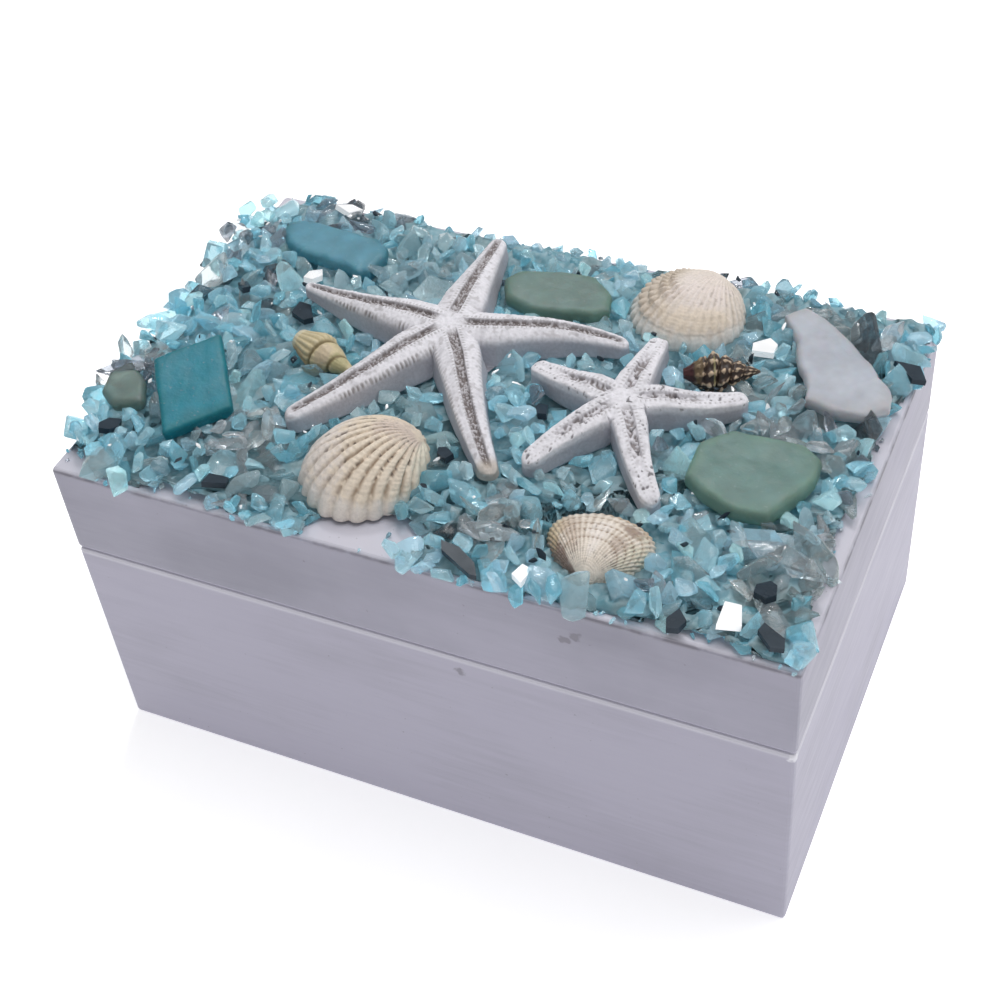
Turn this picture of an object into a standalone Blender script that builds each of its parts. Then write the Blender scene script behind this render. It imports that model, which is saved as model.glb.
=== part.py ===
# Wooden keepsake box with a lift-off lid whose top is crusted with crushed glass,
# sea glass, mirror shards, shells and two starfish.
# Lengths are in metres and +Z is up. The origin is the centre of the box's underside,
# X runs along the box, and -Y is its front.
import math
import random

import bmesh
import bpy
from mathutils import Euler, Vector
from mathutils.bvhtree import BVHTree

MM = 0.001

# Wooden box
BOX_LENGTH = 178 * MM
BOX_DEPTH = 113 * MM
BASE_HEIGHT = 63 * MM
LID_HEIGHT = 26 * MM
WALL = 6 * MM
FLOOR_THICKNESS = 5 * MM
LID_PANEL = 6 * MM
LIP_THICKNESS = 2.6 * MM
LIP_HEIGHT = 4 * MM
LIP_CLEARANCE = 0.5 * MM
EDGE_ROUNDING = 0.9 * MM

# Gap left between pieces that touch
TOUCH_GAP = 0.3 * MM

# Crushed glass: a thin bed of grit and glue, with chips standing in it
BED_THICKNESS = 2.3 * MM
BED_MARGIN = 1.5 * MM
BED_WAVE = 0.9 * MM
BED_WAVE_LENGTHS = (7 * MM, 17 * MM)
BED_POINT_SPACING = 6.5 * MM
CHIP_COUNT = 205
CHIP_TRIES = 9000
CHIP_SMALLEST = 2.6 * MM
CHIP_LARGEST = 4.3 * MM
CHIP_CORNERS = 7
CHIP_OVERHANG = 2.6 * MM
CHIP_TOP = 8.2 * MM
CHIP_CLEARANCE = 1.12
CHIP_CROWDING = 0.66
CHIP_FLATTENING = (0.6, 1.0)
CHIP_CORNER_SPREAD = 0.62
CHIP_FOOT_DEPTH = (0.15, 0.6)
CHIP_STAND = (0.6, 0.95)

# Patches of bare lid that bite into the bed from an edge:
# side, place along that side as a share of its half length, width, depth
BARE_PATCHES = (
    ("front", -0.93, 26 * MM, 9.0 * MM),
    ("front", -0.60, 24 * MM, 2.6 * MM),
    ("front", -0.15, 26 * MM, 9.0 * MM),
    ("front", 0.72, 44 * MM, 2.0 * MM),
    ("right", -0.62, 40 * MM, 2.6 * MM),
    ("right", 0.20, 34 * MM, 3.0 * MM),
)

# Starfish: centre as shares of the lid's half length and half depth, then the arms.
# An arm is its direction in degrees, its length and sideways bow as shares of the reach,
# the height of its tip and how far its tip is raised off the bed as shares of the star's
# height, and the half width of its tip as a share of the half width at the centre.
LARGE_STAR_PLACE = (-0.189, 0.166)
LARGE_STAR_REACH = 47.5 * MM
LARGE_STAR_HEIGHT = 8.4 * MM
LARGE_STAR_HALF_WIDTH = 5.9 * MM
LARGE_STAR_ARMS = (
    (95.0, 0.79, 0.0, 0.67, 0.07, 0.37),
    (173.8, 0.874, 0.013, 0.73, 0.40, 0.32),
    (238.7, 0.958, 0.013, 0.62, 0.02, 0.44),
    (305.2, 1.0, -0.017, 0.31, 0.02, 0.41),
    (373.8, 0.895, 0.042, 0.55, 0.14, 0.39),
)
SMALL_STAR_PLACE = (0.349, -0.032)
SMALL_STAR_REACH = 30.5 * MM
SMALL_STAR_HEIGHT = 7.5 * MM
SMALL_STAR_HALF_WIDTH = 4.2 * MM
SMALL_STAR_ARMS = (
    (89.4, 0.82, 0.0, 0.69, 0.11, 0.50),
    (163.8, 0.852, 0.02, 0.65, 0.08, 0.52),
    (238.6, 0.902, -0.013, 0.59, 0.0, 0.55),
    (302.6, 1.0, -0.02, 0.56, 0.03, 0.52),
    (384.2, 0.918, -0.046, 0.68, 0.13, 0.52),
)
STAR_STATIONS = 7
STAR_GROOVE = 0.9 * MM
STAR_SHOULDER = 0.62
STAR_RIDGE = 0.42
STAR_FLARE = 1.18
STAR_CENTER_DIP = 0.97
STAR_WIDTH_TAPER = 0.85
STAR_HEIGHT_TAPER = 1.2
STAR_FOOT_RISE = 1.6
STAR_GROOVE_START = 0.22
STAR_DISC = 1.25
STAR_BLUNTNESS = 0.62
STAR_TIP_DROP = 0.84

# Bivalve shells: place as shares, heading of the beak in degrees, length from beak to
# margin, width, height of the dome, ribs, depth of a rib, how pointed the beak end is
FRONT_COCKLE_PLACE = (-0.192, -0.600)
FRONT_COCKLE = dict(heading=62, length=31.5 * MM, width=28.5 * MM, height=12.5 * MM,
                    ribs=20, rib_depth=0.55 * MM, point=0.12)
BACK_COCKLE_PLACE = (0.373, 0.735)
BACK_COCKLE = dict(heading=78, length=29 * MM, width=28.5 * MM, height=11.0 * MM,
                   ribs=20, rib_depth=0.45 * MM, point=0.12)
CLAM_PLACE = (0.460, -0.700)
CLAM = dict(heading=-88, length=19.5 * MM, width=23.5 * MM, height=6.2 * MM,
            ribs=18, rib_depth=0.18 * MM, point=0.75)
SHELL_RINGS = 7
SHELL_BEAK_INSET = 0.80
SHELL_APEX_SHIFT = 0.16
SHELL_FULLNESS = 0.62
SHELL_ROUNDNESS = 2.2
SHELL_RING_SPACING = 0.9
SHELL_RIB_FADE = 1.6
SHELL_POCKET_CLEARANCE = 0.7 * MM
POCKET_CORNERS = 32

# Whelk shells: place as shares, heading of the spire in degrees, then their sizes
YELLOW_WHELK_PLACE = (-0.506, -0.066)
YELLOW_WHELK = dict(heading=-21, length=18 * MM, width=8.8 * MM, whorl=0.26,
                    canal=0.50, ribs=9, rib_depth=0.05, bump=0.07)
SPOTTED_WHELK_PLACE = (0.530, 0.336)
SPOTTED_WHELK = dict(heading=21, length=17.5 * MM, width=8.8 * MM, whorl=0.17,
                     canal=0.24, ribs=7, rib_depth=0.11, bump=0.10)
WHELK_RINGS = 13
WHELK_SEGMENTS = 16
WHELK_SHOULDER = 0.42
WHELK_BODY_CURVE = 1.3
WHELK_SPIRE_CURVE = 0.95
WHELK_TIP = 0.06

# Sea glass: place as shares, thickness as a share of the thickness below, then the
# outline about that place in units of the length below
SEA_GLASS_ROUNDING = 1.3 * MM
SEA_GLASS_THICKNESS = 4.2 * MM
SEA_GLASS_UNIT = 1.0 * MM
SEA_GLASS = {
    "blue_sea_glass": ((-0.676, 0.584), 1.0, (
        (-16.2, 0.6), (-15.2, 5.7), (-5.9, 6.9), (10.0, 6.2), (14.0, 2.9),
        (16.2, -3.3), (14.3, -7.6), (10.2, -8.3), (2.0, -5.3), (-7.8, -4.4))),
    "back_green_sea_glass": ((0.015, 0.580), 1.0, (
        (-15.0, 1.0), (-12.5, 5.5), (-2.0, 8.2), (6.5, 8.8), (13.0, 3.0),
        (14.2, -2.5), (11.0, -5.6), (-4.0, -8.0), (-12.0, -5.5))),
    "front_green_sea_glass": ((0.719, -0.212), 1.14, (
        (-13.1, -5.8), (-13.6, 5.5), (-7.6, 11.4), (8.6, 11.9), (13.4, 8.4),
        (13.9, 2.4), (11.1, -4.7), (7.5, -11.9), (0.1, -12.4), (-7.8, -9.3))),
    "frosted_sea_glass": ((0.772, 0.531), 0.86, (
        (-13.5, 11.0), (-11.4, 19.3), (-1.1, 11.6), (7.7, 3.5), (16.0, -5.3),
        (17.4, -11.7), (5.5, -18.5), (-1.2, -14.4), (-8.0, 3.2))),
    "olive_sea_glass": ((-0.925, -0.540), 0.9, (
        (-7.0, 2.5), (-3.5, 7.5), (3.0, 2.6), (6.8, -4.5), (0.0, -7.5), (-5.5, -4.0))),
}
TEAL_TILE_PLACE = (-0.751, -0.470)
TEAL_TILE_WIDTH = 17.2 * MM
TEAL_TILE_LENGTH = 20.7 * MM
TEAL_TILE_THICKNESS = 4.2 * MM
TEAL_TILE_HEADING = 51.0
TEAL_TILE_TILT = 14.0

# Mirror shards: place as shares, length and width as shares of the length below,
# heading and tilt in degrees
MIRROR_LENGTH = 10 * MM
MIRROR_THICKNESS = 1.5 * MM
MIRROR_CORNER_SWAY = 0.25
MIRROR_CORNER_REACH = (0.82, 1.0)
MIRROR_SHARDS = (
    (-0.685, 0.385, 0.75, 0.46, 75, 14),
    (0.606, 0.545, 0.95, 0.65, 95, 10),
    (0.812, -0.890, 0.9, 0.8, 60, 8),
    (0.320, -0.955, 0.65, 0.45, 110, 6),
    (-0.735, 0.880, 0.8, 0.45, 30, 20),
    (-0.640, 0.150, 1.1, 0.6, 135, 6),
    (-0.850, 0.215, 0.7, 0.5, 100, 22),
    (-0.530, -0.905, 0.7, 0.55, 60, 12),
    (-0.022, -0.462, 0.65, 0.36, 145, 10),
    (0.150, -0.115, 0.75, 0.4, 120, 18),
    (0.980, 0.590, 1.0, 0.55, -15, 8),
    (0.865, -0.745, 0.8, 0.55, 100, 16),
    (0.915, -0.930, 0.85, 0.5, -35, 6),
    (0.700, -0.975, 0.7, 0.45, 95, 4),
    (0.160, -0.955, 1.5, 0.4, -28, 4),
    (-0.900, -0.770, 0.7, 0.5, 70, 14),
)

# Colours, roughness and metallic value of each finish
FINISHES = {
    "painted_wood": ((0.72, 0.71, 0.78), 0.55, 0.0),
    "aqua_glass": ((0.33, 0.60, 0.65), 0.15, 0.0),
    "whitewashed_star": ((0.80, 0.79, 0.82), 0.8, 0.0),
    "cream_shell": ((0.78, 0.70, 0.58), 0.55, 0.0),
    "striped_shell": ((0.72, 0.62, 0.54), 0.5, 0.0),
    "yellow_shell": ((0.76, 0.62, 0.36), 0.45, 0.0),
    "spotted_shell": ((0.22, 0.13, 0.09), 0.35, 0.0),
    "teal_sea_glass": ((0.10, 0.50, 0.53), 0.4, 0.0),
    "blue_sea_glass": ((0.20, 0.52, 0.60), 0.4, 0.0),
    "green_sea_glass": ((0.42, 0.62, 0.52), 0.4, 0.0),
    "frosted_sea_glass": ((0.74, 0.80, 0.82), 0.5, 0.0),
    "olive_sea_glass": ((0.35, 0.46, 0.42), 0.45, 0.0),
    "mirror": ((0.75, 0.78, 0.80), 0.05, 1.0),
}

# A glued piece that comes nearer than the gap to one before it slides off it by these steps
SLIDE_STEP = 0.5 * MM
SLIDE_RINGS = 30
SLIDE_DIRECTIONS = 12

RANDOM_SEED = 11
SMOOTH_ANGLE = math.radians(40)

LID_BOTTOM_Z = BASE_HEIGHT + TOUCH_GAP
LID_TOP_Z = LID_BOTTOM_Z + LID_HEIGHT
BED_BOTTOM_Z = LID_TOP_Z + TOUCH_GAP
BED_TOP_Z = BED_BOTTOM_Z + BED_THICKNESS
REST_Z = BED_TOP_Z + TOUCH_GAP


def clear_scene():
    for scene_object in list(bpy.data.objects):
        bpy.data.objects.remove(scene_object, do_unlink=True)


def new_collection(name):
    collection = bpy.data.collections.new(name)
    bpy.context.scene.collection.children.link(collection)
    return collection


def finish_material(name):
    material = bpy.data.materials.get(name)
    if material is None:
        color, roughness, metallic = FINISHES[name]
        material = bpy.data.materials.new(name)
        material.use_nodes = True
        shader = material.node_tree.nodes["Principled BSDF"]
        shader.inputs["Base Color"].default_value = (*color, 1.0)
        shader.inputs["Roughness"].default_value = roughness
        shader.inputs["Metallic"].default_value = metallic
    return material


def lid_point(place, z):
    """A point over the lid, from shares of its half length and half depth."""
    return Vector((place[0] * BOX_LENGTH / 2, place[1] * BOX_DEPTH / 2, z))


def add_object(name, bm, finish, collection, smooth=False):
    """Turns a bmesh into a named object with its material."""
    bmesh.ops.recalc_face_normals(bm, faces=bm.faces)
    mesh = bpy.data.meshes.new(name)
    bm.to_mesh(mesh)
    bm.free()
    if smooth:
        mesh.shade_smooth()
        mesh.set_sharp_from_angle(angle=SMOOTH_ANGLE)
    if finish:
        mesh.materials.append(finish_material(finish))
    scene_object = bpy.data.objects.new(name, mesh)
    collection.objects.link(scene_object)
    return scene_object


def block_mesh(length, depth, bottom, top):
    """A box centred over the origin, between two heights."""
    bm = bmesh.new()
    bmesh.ops.create_cube(bm, size=1.0)
    bmesh.ops.scale(bm, vec=(length, depth, top - bottom), verts=bm.verts)
    bmesh.ops.translate(bm, vec=(0, 0, (top + bottom) / 2), verts=bm.verts)
    return bm


def add_cutter(name, bm, cutters):
    cutter = add_object(name, bm, None, cutters)
    cutter.hide_render = True
    cutter.display_type = "WIRE"
    return cutter


def apply_boolean(target, tool, operation, self_overlap=False):
    modifier = target.modifiers.new(operation.title(), "BOOLEAN")
    modifier.operation = operation
    modifier.solver = "EXACT"
    modifier.use_self = self_overlap
    modifier.object = tool


def round_edges(target, width, segments, angle=30):
    modifier = target.modifiers.new("Bevel", "BEVEL")
    modifier.width = width
    modifier.segments = segments
    modifier.limit_method = "ANGLE"
    modifier.angle_limit = math.radians(angle)


def build_base(parts, cutters):
    """Open tray with a thin lip round its rim that locates the lid."""
    outer = block_mesh(BOX_LENGTH, BOX_DEPTH, 0, BASE_HEIGHT)
    base = add_object("base", outer, "painted_wood", parts)
    round_edges(base, EDGE_ROUNDING, 2)
    inner_length = BOX_LENGTH - 2 * WALL
    inner_depth = BOX_DEPTH - 2 * WALL
    lip = block_mesh(inner_length + 2 * LIP_THICKNESS, inner_depth + 2 * LIP_THICKNESS,
                     FLOOR_THICKNESS / 2, BASE_HEIGHT + LIP_HEIGHT)
    apply_boolean(base, add_cutter("base_lip", lip, cutters), "UNION")
    inside = block_mesh(inner_length, inner_depth, FLOOR_THICKNESS,
                        BASE_HEIGHT + 2 * LIP_HEIGHT)
    apply_boolean(base, add_cutter("base_inside", inside, cutters), "DIFFERENCE")


def build_lid(parts, cutters):
    """Hollow lid with a rebate that drops over the base's lip."""
    outer = block_mesh(BOX_LENGTH, BOX_DEPTH, LID_BOTTOM_Z, LID_TOP_Z)
    lid = add_object("lid", outer, "painted_wood", parts)
    round_edges(lid, EDGE_ROUNDING, 2)
    inner_length = BOX_LENGTH - 2 * WALL
    inner_depth = BOX_DEPTH - 2 * WALL
    below = LID_BOTTOM_Z - LIP_HEIGHT
    inside = block_mesh(inner_length, inner_depth, below, LID_TOP_Z - LID_PANEL)
    apply_boolean(lid, add_cutter("lid_inside", inside, cutters), "DIFFERENCE")
    rebate_growth = 2 * (LIP_THICKNESS + LIP_CLEARANCE)
    rebate = block_mesh(inner_length + rebate_growth, inner_depth + rebate_growth,
                        below, BASE_HEIGHT + LIP_HEIGHT + LIP_CLEARANCE)
    apply_boolean(lid, add_cutter("lid_rebate", rebate, cutters), "DIFFERENCE")


def star_section(place, across, half_width, foot, height, groove):
    """Seven points across an arm: foot, shoulder, ridge, groove, ridge, shoulder, foot."""
    shoulder = foot + (height - foot) * STAR_SHOULDER
    ridge = half_width * STAR_RIDGE
    profile = (
        (half_width * STAR_FLARE, foot),
        (half_width, shoulder),
        (ridge, height),
        (0.0, height - groove),
        (-ridge, height),
        (-half_width, shoulder),
        (-half_width * STAR_FLARE, foot),
    )
    return [place + across * side + Vector((0, 0, z)) for side, z in profile]


def star_mesh(arms, star_reach, height, half_width):
    """Five tapering arms with a groove down each, meeting in a low disc."""
    bm = bmesh.new()
    count = len(arms)
    angles = [math.radians(arm[0]) for arm in arms]
    valley_feet = []
    valley_shoulders = []
    for index, angle in enumerate(angles):
        following = angles[(index + 1) % count]
        spread = (following - angle) % (2 * math.pi)
        middle = angle + spread / 2
        reach = half_width / math.sin(spread / 2)
        direction = Vector((math.cos(middle), math.sin(middle), 0))
        foot = direction * reach * STAR_FLARE
        shoulder = direction * reach + Vector((0, 0, height * STAR_SHOULDER))
        valley_feet.append(bm.verts.new(foot))
        valley_shoulders.append(bm.verts.new(shoulder))
    top = bm.verts.new((0, 0, height * STAR_CENTER_DIP))
    for index, (arm, angle) in enumerate(zip(arms, angles)):
        length = arm[1] * star_reach
        bow = arm[2] * star_reach
        tip_height = arm[3] * height
        tip_foot = arm[4] * height
        tip_half_width = arm[5] * half_width
        out = Vector((math.cos(angle), math.sin(angle), 0))
        side = Vector((-out.y, out.x, 0))
        start = STAR_DISC * half_width
        sections = []
        for station in range(STAR_STATIONS + 1):
            t = station / STAR_STATIONS
            place = out * (start + (length - start) * t) + side * bow * math.sin(math.pi * t)
            width = half_width + (tip_half_width - half_width) * t ** STAR_WIDTH_TAPER
            tall = height + (tip_height - height) * t ** STAR_HEIGHT_TAPER
            foot = tip_foot * t ** STAR_FOOT_RISE
            if station == STAR_STATIONS:
                width *= STAR_BLUNTNESS
                tall = foot + (tall - foot) * STAR_TIP_DROP
            groove_share = STAR_GROOVE_START + (1 - STAR_GROOVE_START) * t
            groove = STAR_GROOVE * math.sin(math.pi * groove_share)
            section = star_section(place, side, width, foot, tall, groove)
            if station == 0:
                ridges = [bm.verts.new(point) for point in section[2:5]]
                section_verts = [valley_feet[index], valley_shoulders[index], *ridges,
                                 valley_shoulders[index - 1], valley_feet[index - 1]]
            else:
                section_verts = [bm.verts.new(point) for point in section]
            sections.append(section_verts)
        for near, far in zip(sections, sections[1:]):
            for k in range(7):
                k_next = (k + 1) % 7
                bm.faces.new((near[k], near[k_next], far[k_next], far[k]))
        bm.faces.new(sections[-1])
        rim = sections[0][1:6]
        for first, second in zip(rim, rim[1:]):
            bm.faces.new((top, first, second))
    bm.faces.new(valley_feet)
    return bm


def build_star(name, place, arms, star_reach, height, half_width, parts):
    bm = star_mesh(arms, star_reach, height, half_width)
    star = add_object(name, bm, "whitewashed_star", parts, smooth=True)
    star.location = lid_point(place, REST_Z)
    return star


def shell_outline(angle, length, width, point):
    """Margin of a bivalve seen from above, with its beak towards +X."""
    def spread(turn):
        return math.sin(turn) * abs(math.sin(turn / 2)) ** point

    widest = max(spread(math.radians(degrees)) for degrees in range(90, 150))
    return Vector((math.cos(angle) * length / 2, spread(angle) / widest * width / 2, 0))


def shell_mesh(length, width, height, ribs, rib_depth, point):
    """Domed bivalve whose ribs fan out from the beak to the margin."""
    bm = bmesh.new()
    rays = 2 * ribs
    beak = Vector((length / 2 * SHELL_BEAK_INSET, 0, 0))
    apex = Vector((length / 2 * SHELL_APEX_SHIFT, 0, 0))
    margin = [shell_outline(2 * math.pi * (k + 0.5) / rays, length, width, point)
              for k in range(rays)]

    def dome_height(place):
        """Height of the dome over a point, from how near the margin it lies."""
        across = Vector((place.x - apex.x, place.y, 0))
        if across.length < 1e-7:
            return height
        reach = 1.0
        for first, second in zip(margin, margin[1:] + margin[:1]):
            side = second - first
            denominator = across.x * side.y - across.y * side.x
            if abs(denominator) < 1e-14:
                continue
            offset = first - apex
            t = (offset.x * side.y - offset.y * side.x) / denominator
            u = (offset.x * across.y - offset.y * across.x) / denominator
            if t > 0 and -1e-9 <= u <= 1 + 1e-9:
                reach = t
                break
        share = min(1.0, 1.0 / reach)
        return height * (1 - share ** SHELL_ROUNDNESS) ** SHELL_FULLNESS

    tip = bm.verts.new((beak.x, 0, dome_height(beak)))
    rings = []
    for ring in range(1, SHELL_RINGS + 1):
        t = (ring / SHELL_RINGS) ** SHELL_RING_SPACING
        verts = []
        for k, edge in enumerate(margin):
            place = beak.lerp(edge, t)
            rib = rib_depth * (1 if k % 2 else -1) * min(1.0, SHELL_RIB_FADE * t)
            outward = Vector((place.x - apex.x, place.y, 0))
            outward = outward.normalized() if outward.length > 1e-7 else Vector()
            level = 0.0 if ring == SHELL_RINGS else dome_height(place)
            flat_share = t ** 2
            place = place + outward * rib * flat_share
            lift = 0.0 if ring == SHELL_RINGS else rib * (1 - flat_share)
            verts.append(bm.verts.new((place.x, place.y, max(0.0, level + lift))))
        rings.append(verts)
    for k in range(rays):
        bm.faces.new((tip, rings[0][k], rings[0][(k + 1) % rays]))
    for inner, outer in zip(rings, rings[1:]):
        for k in range(rays):
            k_next = (k + 1) % rays
            bm.faces.new((inner[k], outer[k], outer[k_next], inner[k_next]))
    bm.faces.new(rings[-1])
    return bm


def build_shell(name, place, sizes, finish, rest_z, parts):
    shape = {key: value for key, value in sizes.items() if key != "heading"}
    shell = add_object(name, shell_mesh(**shape), finish, parts, smooth=True)
    shell.location = lid_point(place, rest_z)
    shell.rotation_euler = Euler((0, 0, math.radians(sizes["heading"])))
    return shell


def whelk_radius(share, phase, sizes):
    """Radius at a share of the length from the canal, for a whorl phase from 0 to 1."""
    if share < WHELK_SHOULDER:
        t = share / WHELK_SHOULDER
        growth = math.sin(t * math.pi / 2) ** WHELK_BODY_CURVE
        envelope = sizes["canal"] + (1 - sizes["canal"]) * growth
    else:
        t = (share - WHELK_SHOULDER) / (1 - WHELK_SHOULDER)
        envelope = (1 - t) ** WHELK_SPIRE_CURVE + WHELK_TIP * t
    swell = abs(math.sin(math.pi * phase / sizes["whorl"]))
    spire = min(1.0, share / WHELK_SHOULDER)
    return sizes["width"] / 2 * envelope * (1 - sizes["bump"] * (1 - swell) * 2 * spire)


def whelk_mesh(sizes):
    """Spiral shell lying along +X, its canal at -X and its spire at +X."""
    bm = bmesh.new()
    length = sizes["length"]
    rings = []
    for ring in range(WHELK_RINGS):
        share = ring / (WHELK_RINGS - 1)
        verts = []
        for k in range(WHELK_SEGMENTS):
            turn = k / WHELK_SEGMENTS
            angle = 2 * math.pi * turn
            radius = whelk_radius(share, share + turn * sizes["whorl"], sizes)
            rib = sizes["rib_depth"] * math.cos(sizes["ribs"] * angle)
            radius *= 1 + rib * math.sin(math.pi * share)
            verts.append(bm.verts.new((length * (share - 0.5), radius * math.cos(angle),
                                       radius * math.sin(angle))))
        rings.append(verts)
    for near, far in zip(rings, rings[1:]):
        for k in range(WHELK_SEGMENTS):
            k_next = (k + 1) % WHELK_SEGMENTS
            bm.faces.new((near[k], near[k_next], far[k_next], far[k]))
    bm.faces.new(rings[0])
    bm.faces.new(rings[-1])
    return bm


def build_whelk(name, place, sizes, finish, parts):
    whelk = add_object(name, whelk_mesh(sizes), finish, parts, smooth=True)
    reach = sizes["width"] / 2 * (1 + sizes["rib_depth"])
    whelk.location = lid_point(place, REST_Z + reach)
    whelk.rotation_euler = Euler((0, 0, math.radians(sizes["heading"])))
    return whelk


def slab_mesh(outline, thickness):
    """A flat outline raised to a thickness, from its underside up."""
    bm = bmesh.new()
    face = bm.faces.new([bm.verts.new((x, y, 0)) for x, y in outline])
    raised = bmesh.ops.extrude_face_region(bm, geom=[face])
    top = [item for item in raised["geom"] if isinstance(item, bmesh.types.BMVert)]
    bmesh.ops.translate(bm, vec=(0, 0, thickness), verts=top)
    return bm


def build_sea_glass(name, place, thickness_share, outline, parts):
    points = [(x * SEA_GLASS_UNIT, y * SEA_GLASS_UNIT) for x, y in outline]
    finish = "green_sea_glass" if "green" in name else name
    pebble = add_object(name, slab_mesh(points, SEA_GLASS_THICKNESS * thickness_share),
                        finish, parts, smooth=True)
    pebble.location = lid_point(place, REST_Z)
    round_edges(pebble, SEA_GLASS_ROUNDING, 2, angle=60)
    return pebble


def build_teal_tile(parts):
    """Rectangle of thick glass that leans back on the chips behind it."""
    half_width = TEAL_TILE_WIDTH / 2
    half_length = TEAL_TILE_LENGTH / 2
    outline = ((-half_width, -half_length), (half_width, -half_length),
               (half_width, half_length), (-half_width, half_length))
    tile = add_object("teal_sea_glass", slab_mesh(outline, TEAL_TILE_THICKNESS),
                      "teal_sea_glass", parts, smooth=True)
    tilt = math.radians(TEAL_TILE_TILT)
    lift = half_length * math.sin(tilt)
    tile.location = lid_point(TEAL_TILE_PLACE, REST_Z + lift)
    tile.rotation_euler = Euler((tilt, 0, math.radians(TEAL_TILE_HEADING)))
    round_edges(tile, SEA_GLASS_ROUNDING / 2, 2, angle=60)
    return tile


def build_mirror_shard(index, place, length, width, heading, tilt, rng, parts):
    """A thin broken plate with four to six corners, its low edge on the bed."""
    corners = rng.randint(4, 6)
    outline = []
    for k in range(corners):
        sway = rng.uniform(-MIRROR_CORNER_SWAY, MIRROR_CORNER_SWAY)
        angle = 2 * math.pi * (k + sway) / corners
        reach = rng.uniform(*MIRROR_CORNER_REACH)
        outline.append((math.cos(angle) * length * MIRROR_LENGTH / 2 * reach,
                        math.sin(angle) * width * MIRROR_LENGTH / 2 * reach))
    shard = add_object(f"mirror_shard_{index:02d}", slab_mesh(outline, MIRROR_THICKNESS),
                       "mirror", parts)
    turn = Euler((0, math.radians(tilt), math.radians(heading)))
    lowest = min((turn.to_matrix() @ vert.co).z for vert in shard.data.vertices)
    shard.location = lid_point(place, REST_Z - lowest)
    shard.rotation_euler = turn
    return shard


def bed_inset(side, along, half_side):
    """How far the bed stays back from an edge of the lid, at a place along that edge."""
    short, long = BED_WAVE_LENGTHS
    inset = BED_MARGIN + BED_WAVE * math.sin(along / short) * math.cos(along / long + len(side))
    for patch_side, share, width, depth in BARE_PATCHES:
        if patch_side == side:
            t = (along - share * half_side) / (width / 2)
            if abs(t) < 1:
                inset += depth * (1 - t * t) ** 0.75
    return inset


def bed_outline():
    """The bed's edge, walked round the lid from its front left corner."""
    half_length = BOX_LENGTH / 2
    half_depth = BOX_DEPTH / 2
    corner = 2 * (BED_MARGIN + BED_WAVE)
    points = []
    for side, half_side, half_other in (("front", half_length, half_depth),
                                        ("right", half_depth, half_length),
                                        ("back", half_length, half_depth),
                                        ("left", half_depth, half_length)):
        steps = max(4, round(2 * (half_side - corner) / BED_POINT_SPACING))
        for step in range(steps + 1):
            along = (half_side - corner) * (2 * step / steps - 1)
            if side in ("back", "left"):
                along = -along
            away = half_other - bed_inset(side, along, half_side)
            points.append({"front": (along, -away), "right": (away, along),
                           "back": (along, away), "left": (-away, along)}[side])
    return points


def inside(outline, x, y):
    """Whether a point lies within a flat outline."""
    crossings = 0
    for (x0, y0), (x1, y1) in zip(outline, outline[1:] + outline[:1]):
        if (y0 > y) != (y1 > y) and x < x0 + (y - y0) * (x1 - x0) / (y1 - y0):
            crossings += 1
    return crossings % 2 == 1


def world_faces(scene_object, depsgraph):
    """An object's evaluated corners and faces in world space."""
    evaluated = scene_object.evaluated_get(depsgraph)
    mesh = evaluated.to_mesh()
    points = [evaluated.matrix_world @ vert.co for vert in mesh.vertices]
    faces = [tuple(face.vertices) for face in mesh.polygons]
    evaluated.to_mesh_clear()
    return points, faces


def free_slide(points, faces, trees):
    """The shortest slide over the lid that clears a piece of the others by the gap."""
    middle = sum(points, Vector()) / len(points)
    growth = 1 + TOUCH_GAP / max((point - middle).length for point in points)
    grown = [middle + (point - middle) * growth for point in points]
    for ring in range(SLIDE_RINGS):
        for step in range(SLIDE_DIRECTIONS if ring else 1):
            angle = 2 * math.pi * step / SLIDE_DIRECTIONS
            slide = Vector((math.cos(angle), math.sin(angle), 0)) * ring * SLIDE_STEP
            tree = BVHTree.FromPolygons([point + slide for point in grown], faces)
            if not any(tree.overlap(other) for other in trees):
                return slide
    return Vector()


def settle(ornaments):
    """Slides each piece clear of those before it, and returns their search trees."""
    bpy.context.view_layer.update()
    depsgraph = bpy.context.evaluated_depsgraph_get()
    meshes = [world_faces(ornament, depsgraph) for ornament in ornaments]
    trees = []
    for ornament, (points, faces) in zip(ornaments, meshes):
        slide = free_slide(points, faces, trees)
        ornament.location += slide
        trees.append(BVHTree.FromPolygons([point + slide for point in points], faces))
    return trees


def chip_shape(rng):
    """Corners of one broken chip about its own centre."""
    size = rng.uniform(CHIP_SMALLEST, CHIP_LARGEST)
    stretch = Vector((size, size * rng.uniform(*CHIP_FLATTENING),
                      size * rng.uniform(*CHIP_FLATTENING)))
    turn = Euler([rng.uniform(0, 2 * math.pi) for _ in range(3)]).to_matrix()
    corners = []
    while len(corners) < CHIP_CORNERS:
        way = Vector((rng.gauss(0, 1), rng.gauss(0, 1), rng.gauss(0, 1))).normalized()
        if all((way - other).length > CHIP_CORNER_SPREAD for other in corners):
            corners.append(way)
    return [turn @ Vector(way * stretch) for way in corners], size


def hull_mesh(points):
    """Convex hull of a few points, as a bmesh."""
    bm = bmesh.new()
    for point in points:
        bm.verts.new(point)
    result = bmesh.ops.convex_hull(bm, input=bm.verts)
    loose = [item for item in result["geom_interior"] if isinstance(item, bmesh.types.BMVert)]
    bmesh.ops.delete(bm, geom=loose, context="VERTS")
    bm.verts.index_update()
    return bm


def clamp(value, limit):
    return max(-limit, min(limit, value))


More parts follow.
